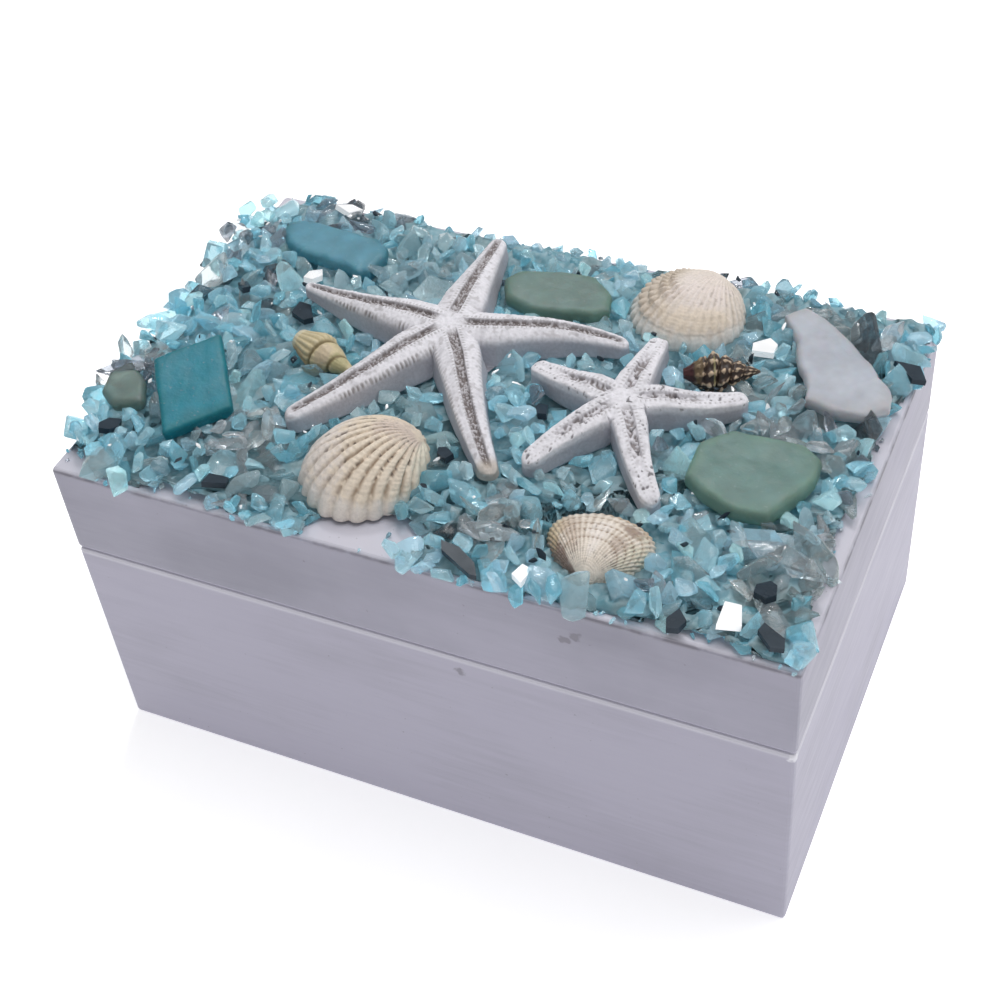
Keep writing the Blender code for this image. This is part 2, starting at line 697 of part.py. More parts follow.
def chip_corners(center, shape, foot, scale=1.0):
    """A chip's corners round its place, kept above its foot and near the lid's edges."""
    reach_x = BOX_LENGTH / 2 + CHIP_OVERHANG
    reach_y = BOX_DEPTH / 2 + CHIP_OVERHANG
    top = LID_TOP_Z + CHIP_TOP
    return [Vector((clamp(center.x + way.x * scale, reach_x),
                    clamp(center.y + way.y * scale, reach_y),
                    min(top, max(foot, center.z + way.z * scale))))
            for way in shape]


def is_blocked(center, size, corners, obstacles):
    """Whether a chip would touch or sit inside an ornament."""
    hull = hull_mesh(corners)
    chip_tree = BVHTree.FromBMesh(hull)
    hull.free()
    for tree in obstacles:
        nearest, normal, _, distance = tree.find_nearest(center)
        if distance < 2 * size and (center - nearest).dot(normal) < 0:
            return True
        if distance < 2 * size and tree.overlap(chip_tree):
            return True
    return False


def chip_bed_mesh(outline, obstacles, rng):
    """All the chips: each stands in the bed and leans on one neighbour at most."""
    placed = []
    all_chips = bmesh.new()
    for _ in range(CHIP_TRIES):
        if len(placed) == CHIP_COUNT:
            break
        x = rng.uniform(-BOX_LENGTH / 2, BOX_LENGTH / 2)
        y = rng.uniform(-BOX_DEPTH / 2, BOX_DEPTH / 2)
        shape, size = chip_shape(rng)
        foot = BED_BOTTOM_Z + BED_THICKNESS * rng.uniform(*CHIP_FOOT_DEPTH)
        depth = -min(way.z for way in shape)
        center = Vector((x, y, foot + depth * rng.uniform(*CHIP_STAND)))
        if any((center - other[0]).length < CHIP_CROWDING * (size + other[1])
               for other in placed):
            continue
        corners = chip_corners(center, shape, foot)
        rooted = any(corner.z < BED_TOP_Z - BED_THICKNESS / 4
                     and inside(outline, corner.x, corner.y) for corner in corners)
        if not rooted or not inside(outline, x, y):
            continue
        wide = chip_corners(center, shape, foot, CHIP_CLEARANCE)
        if is_blocked(center, size, wide, obstacles):
            continue
        chip = hull_mesh(corners)
        chip_tree = BVHTree.FromBMesh(chip)
        close = [other for other in placed if (center - other[0]).length < size + other[1]]
        leaning = sum(1 for other in close if other[2].overlap(chip_tree))
        if leaning <= 1:
            verts = [all_chips.verts.new(vert.co) for vert in chip.verts]
            for face in chip.faces:
                all_chips.faces.new([verts[vert.index] for vert in face.verts])
            placed.append((center, size, chip_tree))
        chip.free()
    return all_chips


def build_crushed_glass(obstacles, cockle, cockle_sizes, parts, cutters, rng):
    """The bed of grit, open round the front cockle, with the chips fused into it."""
    outline = bed_outline()
    bed_mesh = slab_mesh(outline, BED_THICKNESS)
    bmesh.ops.translate(bed_mesh, vec=(0, 0, BED_BOTTOM_Z), verts=bed_mesh.verts)
    bed = add_object("crushed_glass", bed_mesh, "aqua_glass", parts)
    growth = 2 * (SHELL_POCKET_CLEARANCE + cockle_sizes["rib_depth"])
    rim = [shell_outline(2 * math.pi * k / POCKET_CORNERS, cockle_sizes["length"] + growth,
                         cockle_sizes["width"] + growth, cockle_sizes["point"])
           for k in range(POCKET_CORNERS)]
    pocket = add_cutter("cockle_pocket", slab_mesh([(p.x, p.y) for p in rim], 3 * BED_THICKNESS),
                        cutters)
    pocket.location = (cockle.location.x, cockle.location.y, BED_BOTTOM_Z - BED_THICKNESS)
    pocket.rotation_euler = cockle.rotation_euler
    apply_boolean(bed, pocket, "DIFFERENCE")
    chips = add_cutter("glass_chips", chip_bed_mesh(outline, obstacles, rng), cutters)
    apply_boolean(bed, chips, "UNION", self_overlap=True)


def main():
    clear_scene()
    parts = new_collection("shell_box")
    cutters = new_collection("shell_box_cutters")
    rng = random.Random(RANDOM_SEED)
    build_base(parts, cutters)
    build_lid(parts, cutters)
    front_cockle = build_shell("front_cockle_shell", FRONT_COCKLE_PLACE, FRONT_COCKLE,
                               "cream_shell", LID_TOP_Z + TOUCH_GAP, parts)
    ornaments = [
        build_star("large_starfish", LARGE_STAR_PLACE, LARGE_STAR_ARMS, LARGE_STAR_REACH,
                   LARGE_STAR_HEIGHT, LARGE_STAR_HALF_WIDTH, parts),
        build_star("small_starfish", SMALL_STAR_PLACE, SMALL_STAR_ARMS, SMALL_STAR_REACH,
                   SMALL_STAR_HEIGHT, SMALL_STAR_HALF_WIDTH, parts),
        front_cockle,
        build_shell("back_cockle_shell", BACK_COCKLE_PLACE, BACK_COCKLE,
                    "cream_shell", REST_Z, parts),
        build_shell("striped_clam_shell", CLAM_PLACE, CLAM, "striped_shell", REST_Z, parts),
        build_whelk("yellow_whelk_shell", YELLOW_WHELK_PLACE, YELLOW_WHELK,
                    "yellow_shell", parts),
        build_whelk("spotted_whelk_shell", SPOTTED_WHELK_PLACE, SPOTTED_WHELK,
                    "spotted_shell", parts),
        build_teal_tile(parts),
    ]
    for name, (place, thickness_share, outline) in SEA_GLASS.items():
        ornaments.append(build_sea_glass(name, place, thickness_share, outline, parts))
    for index, shard in enumerate(MIRROR_SHARDS, start=1):
        ornaments.append(build_mirror_shard(index, shard[:2], *shard[2:], rng, parts))
    build_crushed_glass(settle(ornaments), front_cockle, FRONT_COCKLE, parts, cutters, rng)


main()
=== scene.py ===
import math
import random

import bmesh
import bpy
import numpy as np
from mathutils import Matrix, Vector
from mathutils.bvhtree import BVHTree


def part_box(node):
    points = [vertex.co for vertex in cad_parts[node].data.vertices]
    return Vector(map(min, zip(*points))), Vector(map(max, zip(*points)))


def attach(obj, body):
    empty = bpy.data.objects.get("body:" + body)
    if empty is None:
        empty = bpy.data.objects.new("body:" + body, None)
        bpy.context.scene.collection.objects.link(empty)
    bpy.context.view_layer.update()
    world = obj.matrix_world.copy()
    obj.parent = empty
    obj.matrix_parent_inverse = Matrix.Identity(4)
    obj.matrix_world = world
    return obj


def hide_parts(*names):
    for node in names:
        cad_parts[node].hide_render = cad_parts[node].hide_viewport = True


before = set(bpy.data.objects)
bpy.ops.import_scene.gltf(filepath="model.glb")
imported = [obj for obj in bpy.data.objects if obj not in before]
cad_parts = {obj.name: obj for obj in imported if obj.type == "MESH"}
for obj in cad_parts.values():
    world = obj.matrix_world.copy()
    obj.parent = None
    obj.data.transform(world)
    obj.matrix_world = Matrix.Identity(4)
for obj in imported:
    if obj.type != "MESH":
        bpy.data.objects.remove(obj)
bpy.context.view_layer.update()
mm = 0.001
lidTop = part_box("lid")[1].z / mm  # every size below is in millimetres
print("frame loaded:", len(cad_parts), "nodes, lid top at", round(lidTop, 2), "mm")


# Meshes

def grain(points, size, seed):  # soft noise from -1 to 1, its lumps about size across
    spots = np.asarray(points, float) / size + seed * 17.31
    cell = np.floor(spots).astype(np.int64)
    part = spots - cell
    part = part * part * (3 - 2 * part)
    total = np.zeros(len(spots))
    for corner in range(8):
        step = np.array([(corner >> k) & 1 for k in range(3)])
        key = cell + step
        mixed = (key[:, 0] * 73856093) ^ (key[:, 1] * 19349663) ^ (key[:, 2] * 83492791)
        mixed = ((mixed ^ (mixed >> 13)) * 1274126177) & 0x7FFFFFFF
        mixed = ((mixed ^ (mixed >> 15)) * 1911520717) & 0x7FFFFFFF
        total += np.prod(np.where(step, part, 1 - part), axis=1) * (mixed % 10007) / 10007
    return total * 2 - 1


def between(values, low, high):  # 0 below low, 1 above high, soft in between
    share = np.clip((np.asarray(values, float) - low) / (high - low), 0, 1)
    return share * share * (3 - 2 * share)


def blend(first, second, share):  # one colour into another, point by point
    share = np.asarray(share)[:, None]
    return np.asarray(first) * (1 - share) + np.asarray(second) * share


def gridFaces(rows, columns, loop=False, start=0):  # quads of a grid, row after row
    faces = []
    for row in range(rows - 1):
        for column in range(columns if loop else columns - 1):
            after = (column + 1) % columns
            faces.append((start + row * columns + column, start + row * columns + after,
                          start + (row + 1) * columns + after, start + (row + 1) * columns + column))
    return faces


def newMesh(name, points, faces, tint=None):  # points in mm, tint one colour a point
    mesh = bpy.data.meshes.new(name)
    mesh.from_pydata((np.asarray(points) * mm).tolist(), [], faces)
    if tint is not None:
        layer = mesh.attributes.new("tint", "FLOAT_COLOR", "POINT")
        colours = np.ones((len(points), 4))
        colours[:, :3] = tint
        layer.data.foreach_set("color", colours.ravel())
    return mesh


def vectorsOf(mesh, what):  # places or normals of all points
    values = np.empty(len(mesh.vertices) * 3)
    mesh.vertices.foreach_get(what, values)
    return values.reshape(-1, 3)


def closeUp(mesh, weld):  # welds points nearer than this, closes the underside, turns faces outward
    bm = bmesh.new()
    bm.from_mesh(mesh)
    bmesh.ops.remove_doubles(bm, verts=bm.verts, dist=weld)
    bmesh.ops.dissolve_degenerate(bm, edges=bm.edges, dist=1e-7)
    rim = [edge for edge in bm.edges if edge.is_boundary]
    if rim:
        bmesh.ops.holes_fill(bm, edges=rim, sides=0)
    bmesh.ops.triangulate(bm, faces=[face for face in bm.faces if len(face.verts) > 4])
    bmesh.ops.recalc_face_normals(bm, faces=bm.faces)
    bm.to_mesh(mesh)
    bm.free()


def addPiece(name, mesh, material, node):  # a piece shown instead of the CAD node
    piece = bpy.data.objects.new(name, mesh)
    bpy.context.scene.collection.objects.link(piece)
    mesh.materials.clear()
    mesh.materials.append(material)
    mesh.polygons.foreach_set("use_smooth", [True] * len(mesh.polygons))
    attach(piece, "root")
    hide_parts(node)
    return piece


# Materials

def addNode(tree, kind, inputs=None, **settings):
    made = tree.nodes.new("ShaderNode" + kind)
    for name, value in settings.items():
        setattr(made, name, value)
    for name, value in (inputs or {}).items():
        if isinstance(value, bpy.types.NodeSocket):
            tree.links.new(value, made.inputs[name])
        else:
            made.inputs[name].default_value = value
    return made


def newMaterial(name, roughness=0.5, **plain):
    material = bpy.data.materials.new(name)
    material.use_nodes = True
    tree = material.node_tree
    shader = tree.nodes["Principled BSDF"]
    shader.inputs["Roughness"].default_value = roughness
    for key, value in plain.items():
        shader.inputs[key.replace("_", " ")].default_value = value
    return material, tree, shader


def noiseAt(tree, scale, detail=3.0, stretch=None):  # scale is lumps per metre
    place = addNode(tree, "TexCoord").outputs["Object"]
    if stretch:
        place = addNode(tree, "Mapping", {"Vector": place, "Scale": stretch}).outputs["Vector"]
    return addNode(tree, "TexNoise", {"Vector": place, "Scale": scale,
                                      "Detail": detail}).outputs["Fac"]


def spread(tree, value, fromLow, fromHigh, toLow=0.0, toHigh=1.0):
    return addNode(tree, "MapRange", {"Value": value, "From Min": fromLow, "From Max": fromHigh,
                                      "To Min": toLow, "To Max": toHigh}).outputs["Result"]


def combine(tree, first, second, how="MULTIPLY"):
    made = addNode(tree, "Math", operation=how)
    for socket, value in zip(made.inputs, (first, second)):
        if isinstance(value, bpy.types.NodeSocket):
            tree.links.new(value, socket)
        else:
            socket.default_value = value
    return made.outputs[0]


def tintMix(tree, share, first, second, how="MIX"):
    return addNode(tree, "MixRGB", {"Fac": share, "Color1": first, "Color2": second},
                   blend_type=how).outputs["Color"]


def bumpInto(tree, shader, height, distance, strength=1.0):
    made = addNode(tree, "Bump", {"Height": height, "Distance": distance, "Strength": strength})
    tree.links.new(made.outputs["Normal"], shader.inputs["Normal"])


# Camera, floor and light

cameraView = {
    "place": (0.13917, -0.26802, 0.35415),
    "right": (0.91316, 0.40040, -0.07624),
    "up": (-0.23358, 0.66736, 0.70715),
    "forward": (-0.33402, 0.62794, -0.70293),
    "lens": 61.83,
}
camera = bpy.data.objects.new("camera", bpy.data.cameras.new("camera"))
bpy.context.scene.collection.objects.link(camera)
bpy.context.scene.camera = camera
camera.data.sensor_width = 36
camera.data.lens = cameraView["lens"]
camera.data.clip_start = 0.01
turn = Matrix((cameraView["right"], cameraView["up"],
               -Vector(cameraView["forward"]))).transposed().to_4x4()
camera.matrix_world = Matrix.Translation(cameraView["place"]) @ turn

studio = {
    "sky": 0.42,
    "overhead": {"place": (0.25, 0.30, 1.15), "width": 0.9, "power": 6.6},
    "side": {"place": (1.05, 0.15, 0.45), "width": 0.5, "power": 0.16},
    "sparkle": {"place": (-0.25, 0.55, 0.85), "width": 0.12, "power": 1.5},
}
world = bpy.data.worlds.new("studio")
bpy.context.scene.world = world
world.use_nodes = True
world.node_tree.nodes["Background"].inputs["Color"].default_value = (1.0, 1.0, 1.0, 1)
world.node_tree.nodes["Background"].inputs["Strength"].default_value = studio["sky"]
for name in ("overhead", "side", "sparkle"):
    values = studio[name]
    lamp = bpy.data.objects.new(name, bpy.data.lights.new(name, "AREA"))
    bpy.context.scene.collection.objects.link(lamp)
    lamp.data.size = values["width"]
    lamp.data.energy = values["power"]
    lamp.location = values["place"]
    aim = Vector((0, 0, 0.07)) - lamp.location
    lamp.rotation_euler = aim.to_track_quat("-Z", "Y").to_euler()
bpy.context.scene.view_settings.view_transform = "Standard"

floorMaterial, floorTree, floorShader = newMaterial("paleFloor", 0.6, Specular_IOR_Level=0.2)
floorTint = tintMix(floorTree, noiseAt(floorTree, 30), (0.93, 0.93, 0.935, 1), (0.95, 0.95, 0.955, 1))
floorTree.links.new(floorTint, floorShader.inputs["Base Color"])
floorTree.links.new(floorTint, floorShader.inputs["Emission Color"])
floorShader.inputs["Emission Strength"].default_value = 0.55
floorPoints = [(-6000, -6000, 0), (6000, -6000, 0), (6000, 6000, 0), (-6000, 6000, 0)]
floor = bpy.data.objects.new("floor", newMesh("floor", floorPoints, [(0, 1, 2, 3)]))
floor.data.materials.append(floorMaterial)
bpy.context.scene.collection.objects.link(floor)
print("camera, floor and lights made")


# Painted wood of the base and the lid

paintedWood = {
    "side": (0.435, 0.42, 0.52, 1),
    "rubbed": (0.40, 0.387, 0.475, 1),
    "dull": (0.295, 0.29, 0.36, 1),
    # top: paler paint on the lid's top, partly painted light from above
    "top": (0.61, 0.595, 0.675, 1),
    # worn: worn paint, and also the painted shadow along the lid's top edge
    "worn": (0.19, 0.18, 0.215, 1),
    "pale": (0.80, 0.79, 0.86, 1),
    "seam": 63.2,  # where the lid meets the base
    # small marks: place in mm, radius, how strong, worn or pale
    "marks": (
        ((38.3, -56.5, 79.8), 1.5, 0.75, "worn"),
        ((40.9, -56.5, 81.6), 1.5, 0.75, "worn"),
        ((12.0, -56.5, 58.5), 1.5, 0.7, "worn"),
        ((88.6, -56.3, 62.0), 1.7, 1.0, "pale"),
    ),
}


def makePaintedWood():
    material, tree, shader = newMaterial("paintedWood")
    seam, top = paintedWood["seam"] * mm, lidTop * mm
    place = addNode(tree, "TexCoord").outputs["Object"]
    height = addNode(tree, "SeparateXYZ", {"Vector": place}).outputs["Z"]
    smudge = noiseAt(tree, 38, 4.0, (0.55, 0.55, 1.0))
    brushed = noiseAt(tree, 60, 3.0, (1.0, 1.0, 14.0))
    cover = combine(tree, combine(tree, smudge, 0.7), combine(tree, brushed, 0.3), "ADD")
    tint = tintMix(tree, spread(tree, cover, 0.50, 0.68), paintedWood["side"], paintedWood["rubbed"])
    # the lid is painted darker than the base, most of all in patches
    onLid = spread(tree, height, seam + 0.0002, seam + 0.0013)
    lidDarkPatches = spread(tree, noiseAt(tree, 26, 5.0, (0.6, 0.6, 1.0)), 0.38, 0.62, 0.30, 1.0)
    tint = tintMix(tree, combine(tree, onLid, lidDarkPatches), tint, paintedWood["dull"])
    # the top of the lid is painted paler: partly paler paint, partly painted light from above
    paleAndLitTop = spread(tree, height, top - 0.0006, top - 0.0001)
    tint = tintMix(tree, paleAndLitTop, tint, paintedWood["top"])
    chipped = noiseAt(tree, 160, 4.0, (1.0, 1.0, 1.6))
    # a patchy dark band just under the lid's top edge: worn paint and glue, partly painted shadow under the
    # overhanging chips
    edgeWearAndShade = combine(tree, spread(tree, height, top - 0.0016, top - 0.0008),
                   spread(tree, height, top - 0.0001, top - 0.0005))
    arris = combine(tree, edgeWearAndShade, spread(tree, chipped, 0.42, 0.56))
    tint = tintMix(tree, combine(tree, arris, 0.75), tint, paintedWood["worn"])
    # the edge of the base under the lid is pale
    lip = combine(tree, spread(tree, height, seam - 0.0020, seam - 0.0010),
                  spread(tree, height, seam, seam - 0.0002))
    tint = tintMix(tree, combine(tree, lip, 0.6), tint, paintedWood["pale"])
    speck = spread(tree, noiseAt(tree, 900, 1.0), 0.765, 0.80)
    tint = tintMix(tree, combine(tree, speck, 0.5), tint, paintedWood["worn"])
    ragged = addNode(tree, "TexNoise", {"Vector": place, "Scale": 500.0}).outputs["Color"]
    for spot, radius, strength, kind in paintedWood["marks"]:
        shifted = addNode(tree, "VectorMath", {0: place, 1: Vector(spot) * mm}, operation="SUBTRACT")
        wander = addNode(tree, "VectorMath", {0: ragged, 1: (0.5, 0.5, 0.5)}, operation="SUBTRACT")
        wander = addNode(tree, "VectorMath", {0: wander.outputs[0], "Scale": radius * mm * 2.2},
                         operation="SCALE")
        near = addNode(tree, "VectorMath", {0: shifted.outputs[0], 1: wander.outputs[0]}, operation="ADD")
        away = addNode(tree, "VectorMath", {0: near.outputs[0]}, operation="LENGTH").outputs["Value"]
        mark = spread(tree, away, radius * mm, radius * mm * 0.6, 0.0, strength)
        tint = tintMix(tree, mark, tint, paintedWood[kind])
    tree.links.new(tint, shader.inputs["Base Color"])
    tree.links.new(spread(tree, brushed, 0.3, 0.7, 0.42, 0.58), shader.inputs["Roughness"])
    bumpInto(tree, shader, combine(tree, brushed, chipped, "ADD"), 0.00012, 0.5)
    return material


woodMaterial = makePaintedWood()
for name in ("base", "lid"):
    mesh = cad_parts[name].data
    mesh.materials.clear()
    mesh.materials.append(woodMaterial)
print("painted wood made")


# Starfish

largeStar = {
    "node": "large_starfish", "centre": (-0.189 * 89, 0.166 * 56.5), "disc": 12.0,
    "reach": 47.5, "height": 8.4, "halfWidth": 5.9,
    # direction, length, bow, height of the tip, rise of the tip, half width of the tip
    "arms": ((95.0, 0.79, 0.0, 0.67, 0.07, 0.33), (173.8, 0.874, 0.013, 0.73, 0.40, 0.22),
             (238.7, 0.958, 0.013, 0.62, 0.02, 0.37), (305.2, 1.0, -0.017, 0.31, 0.02, 0.36),
             (373.8, 0.895, 0.042, 0.55, 0.14, 0.34)),
    "groove": 0.7, "bead": 0.20, "beadPitch": 0.95, "tooth": 0.26, "toothPitch": 1.15,
    # how strong the comb is on the left and right flank of each arm
    "combs": ((0.1, 0.1), (0.85, 0.1), (0.85, 0.2), (0.35, 0.45), (0.1, 0.1)),
    "brown": 0.95, "pit": 0.30, "lonePits": 0.0, "mottle": 0.30, "seed": 3, "grooveEnd": (0.985, 0.90),
    "bareTip": 3,  # the arm whose tip the whitewash has left
    # brown grains in the groove: size, least stain, range of the noise
    "grains": (0.30, 0.45, -0.30, 0.05),
    # from the groove over the beaded ridge and the shoulder to the foot
    "along": (0.0, 0.07, 0.15, 0.22, 0.30, 0.40, 0.52, 0.60, 0.68, 0.84, 1.0),
    "out": (0.0, 0.12, 0.21, 0.31, 0.43, 0.60, 0.84, 0.95, 0.99, 1.03, 1.12),
    "up": (0.0, 0.0, 0.02, 0.01, 0.0, -0.04, -0.11, -0.19, -0.34, -0.66, -1.0),
}
smallStar = {
    "node": "small_starfish", "centre": (0.349 * 89, -0.032 * 56.5), "disc": 8.6,
    "reach": 30.5, "height": 7.5, "halfWidth": 4.2,
    "arms": ((89.4, 0.82, 0.0, 0.69, 0.11, 0.50), (163.8, 0.852, 0.02, 0.65, 0.08, 0.52),
             (238.6, 0.902, -0.013, 0.59, 0.0, 0.55), (302.6, 1.0, -0.02, 0.56, 0.03, 0.52),
             (384.2, 0.918, -0.046, 0.68, 0.13, 0.52)),
    "groove": 0.6, "bead": 0.08, "beadPitch": 1.1, "tooth": 0.0, "toothPitch": 1.3,
    "combs": ((0, 0),) * 5, "brown": 0.85, "pit": 0.45, "lonePits": 1.0, "mottle": 0.10, "seed": 8,
    "grooveEnd": (0.66, 0.22), "grains": (0.50, 0.20, -0.05, 0.20), "bareTip": None,
    "along": (0.0, 0.08, 0.16, 0.26, 0.36, 0.46, 0.53, 0.59, 0.66, 0.84, 1.0),
    "out": (0.0, 0.15, 0.30, 0.52, 0.74, 0.91, 0.97, 1.0, 1.01, 1.03, 1.06),
    "up": (0.0, 0.0, 0.02, 0.02, 0.01, -0.02, -0.08, -0.18, -0.33, -0.68, -1.0),
}
starColours = {
    "cream": (0.82, 0.805, 0.855), "wallShade": (0.52, 0.51, 0.565), "brown": (0.17, 0.14, 0.135),
    "grey": (0.33, 0.32, 0.35), "beige": (0.50, 0.44, 0.38), "pit": (0.13, 0.12, 0.13),
}
starStep = 0.26  # from one row of points to the next along an arm
starColumns = 40  # points from the middle of an arm to its foot


def starArm(star, index):
    rows = star["arms"]
    angle = math.radians(rows[index][0])
    after = math.radians(rows[(index + 1) % len(rows)][0])
    before = math.radians(rows[index - 1][0])
    length, bow = rows[index][1] * star["reach"], rows[index][2] * star["reach"]
    tipTop, tipFoot = rows[index][3] * star["height"], rows[index][4] * star["height"]
    tipHalf = rows[index][5] * star["halfWidth"]
    disc = star["disc"]
    shared = np.linspace(0, disc, round(disc / starStep) + 1)
    blunt = 1.1 * tipHalf
    middle = np.linspace(disc, length - blunt, round((length - blunt - disc) / starStep) + 1)[1:]
    end = length - blunt + blunt * np.sin(np.linspace(0, math.pi / 2, 15))[1:]
    away = np.concatenate([shared, middle, end])
    t = np.clip((away - disc) / (length - disc), 0, 1)
    half = np.where(away < disc, star["halfWidth"] * (1.04 - 0.10 * away / disc),
                    star["halfWidth"] * 0.94 + (tipHalf - star["halfWidth"] * 0.94) * t ** 0.85)
    rounding = np.sqrt(np.clip(1 - ((away - length + blunt) / blunt).clip(0) ** 2, 0, 1))
    half = half * (0.001 + 0.999 * rounding)
    foot = tipFoot * t ** 1.6
    top = star["height"] + (tipTop - star["height"]) * t ** 1.2
    top = foot + (top - foot) * (0.72 + 0.28 * rounding)
    profile = np.linspace(0, 1, 61)
    soft = np.ones(5) / 5
    out = np.convolve(np.pad(np.interp(profile, star["along"], star["out"]), 2,
                             mode="reflect", reflect_type="odd"), soft, "valid")
    up = np.convolve(np.pad(np.interp(profile, star["along"], star["up"]), 2,
                            mode="edge"), soft, "valid")
    outward = np.array((math.cos(angle), math.sin(angle), 0.0))
    left = np.array((-outward[1], outward[0], 0.0))
    halves = []
    for side, gap in ((1, (after - angle) % (2 * math.pi)), (-1, (angle - before) % (2 * math.pi))):
        edge = away * math.tan(gap / 2) / np.maximum(half, 1e-6)
        reach = np.interp(edge, out, profile)
        # q runs across the arm from its middle to its foot, s along it from the star's centre
        q = reach[:, None] * np.linspace(0, 1, starColumns)[None, :] ** 1.25
        y = np.interp(q, profile, out) * half[:, None]
        rise = np.interp(q, profile, up)
        s = np.repeat(away[:, None], q.shape[1], 1)
        share = np.repeat(t[:, None], q.shape[1], 1)
        z = top[:, None] + rise * (top - foot)[:, None]
        base = outward * s[..., None] + left * (side * y + bow * np.sin(math.pi * share))[..., None]
        base[..., 2] = z
        flat = base.reshape(-1, 3)
        wander = (grain(flat, 2.3, star["seed"]) * 0.9).reshape(q.shape)
        fine = grain(flat, 0.62, star["seed"] + 1).reshape(q.shape)
        coarse = grain(flat, 3.4, star["seed"] + 2).reshape(q.shape)
        dots = grain(flat, star["grains"][0], star["seed"] + 3).reshape(q.shape)
        isOpen = between(s, 2.2, 5.5) * between(share, *star["grooveEnd"])
        narrow = 1.0 / np.clip(half[:, None] / (0.7 * star["halfWidth"]), 0.65, 1.6)
        groove = between(q, 0.22 * narrow, 0.12) * isOpen
        z = z - groove * star["groove"]
        pits = between(dots, -0.2, 0.2)
        z = z - groove * pits * star["pit"]
        beads = 0.5 + 0.5 * np.cos(2 * math.pi * s / star["beadPitch"] + wander)
        ridge = np.exp(-((q - 0.225) / 0.045) ** 2) * between(s, 1.5, 4.0) * between(share, 1.0, 0.85)
        z = z + ridge * star["bead"] * (beads - 0.35)
        teeth = between(np.cos(2 * math.pi * s / star["toothPitch"] + 1.4 * wander), -0.35, 0.55)
        comb = between(q, 0.46, 0.54) * between(q, 0.68, 0.62) * between(s, 4.0, 8.0)
        comb = comb * between(share, 0.80, 0.55) * star["combs"][index][0 if side > 0 else 1]
        z = z + comb * star["tooth"] * (teeth - 0.6)
        y = y + comb * star["tooth"] * (teeth - 0.75)
        z = z + (0.10 * fine + 0.14 * coarse) * between(q, 0.75, 0.6)
        y = y + (0.16 * coarse * between(q, 0.55, 0.8)) * between(half[:, None], 0.5, 1.5)
        sparse = between(grain(flat, 0.85, star["seed"] + 6).reshape(q.shape), 0.64, 0.70)
        lonePits = sparse * between(q, 0.62, 0.5) * star["lonePits"]
        z = z - lonePits * 0.25
        points = outward * s[..., None] + left * (side * y + bow * np.sin(math.pi * share))[..., None]
        points[..., 2] = np.maximum(z, foot[:, None])
        points[:, 0, :2] = (outward * s[:, :1] + left * bow * np.sin(math.pi * share[:, :1]))[:, :2]
        flatQ, flatS = q.ravel(), s.ravel()
        # the flanks and foot of each arm are painted darker: painted shade on the side walls
        tint = blend(starColours["cream"], starColours["wallShade"], between(flatQ, 0.58, 0.70))
        mottled = between(grain(flat, 1.6, star["seed"] + 4), 0.1, 0.7) * between(flatQ, 0.75, 0.6)
        tint = blend(tint, starColours["grey"], 0.22 * mottled)
        inGroove = between(flatQ, (0.23 * narrow * np.ones(q.shape)).ravel(), 0.13) * isOpen.ravel()
        leastStain, *dotRange = star["grains"][1:]
        stained = leastStain + (1 - leastStain) * between(dots.ravel(), *dotRange)
        stained = stained * inGroove * star["brown"]
        stained = np.maximum(stained, 0.6 * star["brown"] * ridge.ravel()
                             * between(beads.ravel(), 0.45, 0.15))
        pores = between(grain(flat, 0.9, star["seed"] + 7), 0.30, 0.55) * between(flatQ, 0.60, 0.5)
        stained = np.maximum(stained, star["mottle"] * pores)
        stained = np.maximum(stained, (0.85 * comb * (1 - teeth)).ravel() * star["brown"]
                             * between(grain(flat, 2.0, star["seed"] + 5), -0.5, 0.2))
        tint = blend(tint, starColours["brown"], np.clip(stained, 0, 1))
        tint = blend(tint, starColours["pit"], 0.85 * lonePits.ravel())
        if index == star["bareTip"]:
            bare = between(flatS, length - 5.5, length - 2.0)
            tint = blend(tint, starColours["beige"], 0.8 * bare)
        halves.append((points, tint, q.shape))
    return halves


def buildStar(star, material):
    points, tints, faces = [], [], []
    count = 0
    for index in range(len(star["arms"])):
        for grid, tint, shape in starArm(star, index):
            points.append(grid.reshape(-1, 3))
            tints.append(tint)
            faces += gridFaces(shape[0], shape[1], start=count)
            count += shape[0] * shape[1]
    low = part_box(star["node"])[0]
    points = np.concatenate(points) + (*star["centre"], low.z / mm)
    mesh = newMesh(star["node"], points, faces, np.concatenate(tints))
    closeUp(mesh, 2e-5)
    piece = addPiece(star["node"].replace("_", ""), mesh, material, star["node"])
    print(piece.name, "made,", len(mesh.polygons), "faces")
    return piece


def makeTinted(name, roughness, fineScale, bumpDepth):  # shows the tint laid on the points
    material, tree, shader = newMaterial(name)
    tint = addNode(tree, "Attribute", attribute_name="tint").outputs["Color"]
    fine = noiseAt(tree, fineScale, 4.0)
    shade = spread(tree, fine, 0.3, 0.7, 0.88, 1.06)
    shade = addNode(tree, "CombineColor", {"Red": shade, "Green": shade, "Blue": shade}).outputs["Color"]
    tint = tintMix(tree, 1.0, tint, shade, "MULTIPLY")
    tree.links.new(tint, shader.inputs["Base Color"])
    tree.links.new(spread(tree, fine, 0.3, 0.7, roughness - 0.08, roughness + 0.08),
                   shader.inputs["Roughness"])
    bumpInto(tree, shader, fine, bumpDepth)
    return material


whitewash = makeTinted("whitewash", 0.72, 1400, 0.00012)
largeStarPiece = buildStar(largeStar, whitewash)
smallStarPiece = buildStar(smallStar, whitewash)

# Sea glass and mirror shards

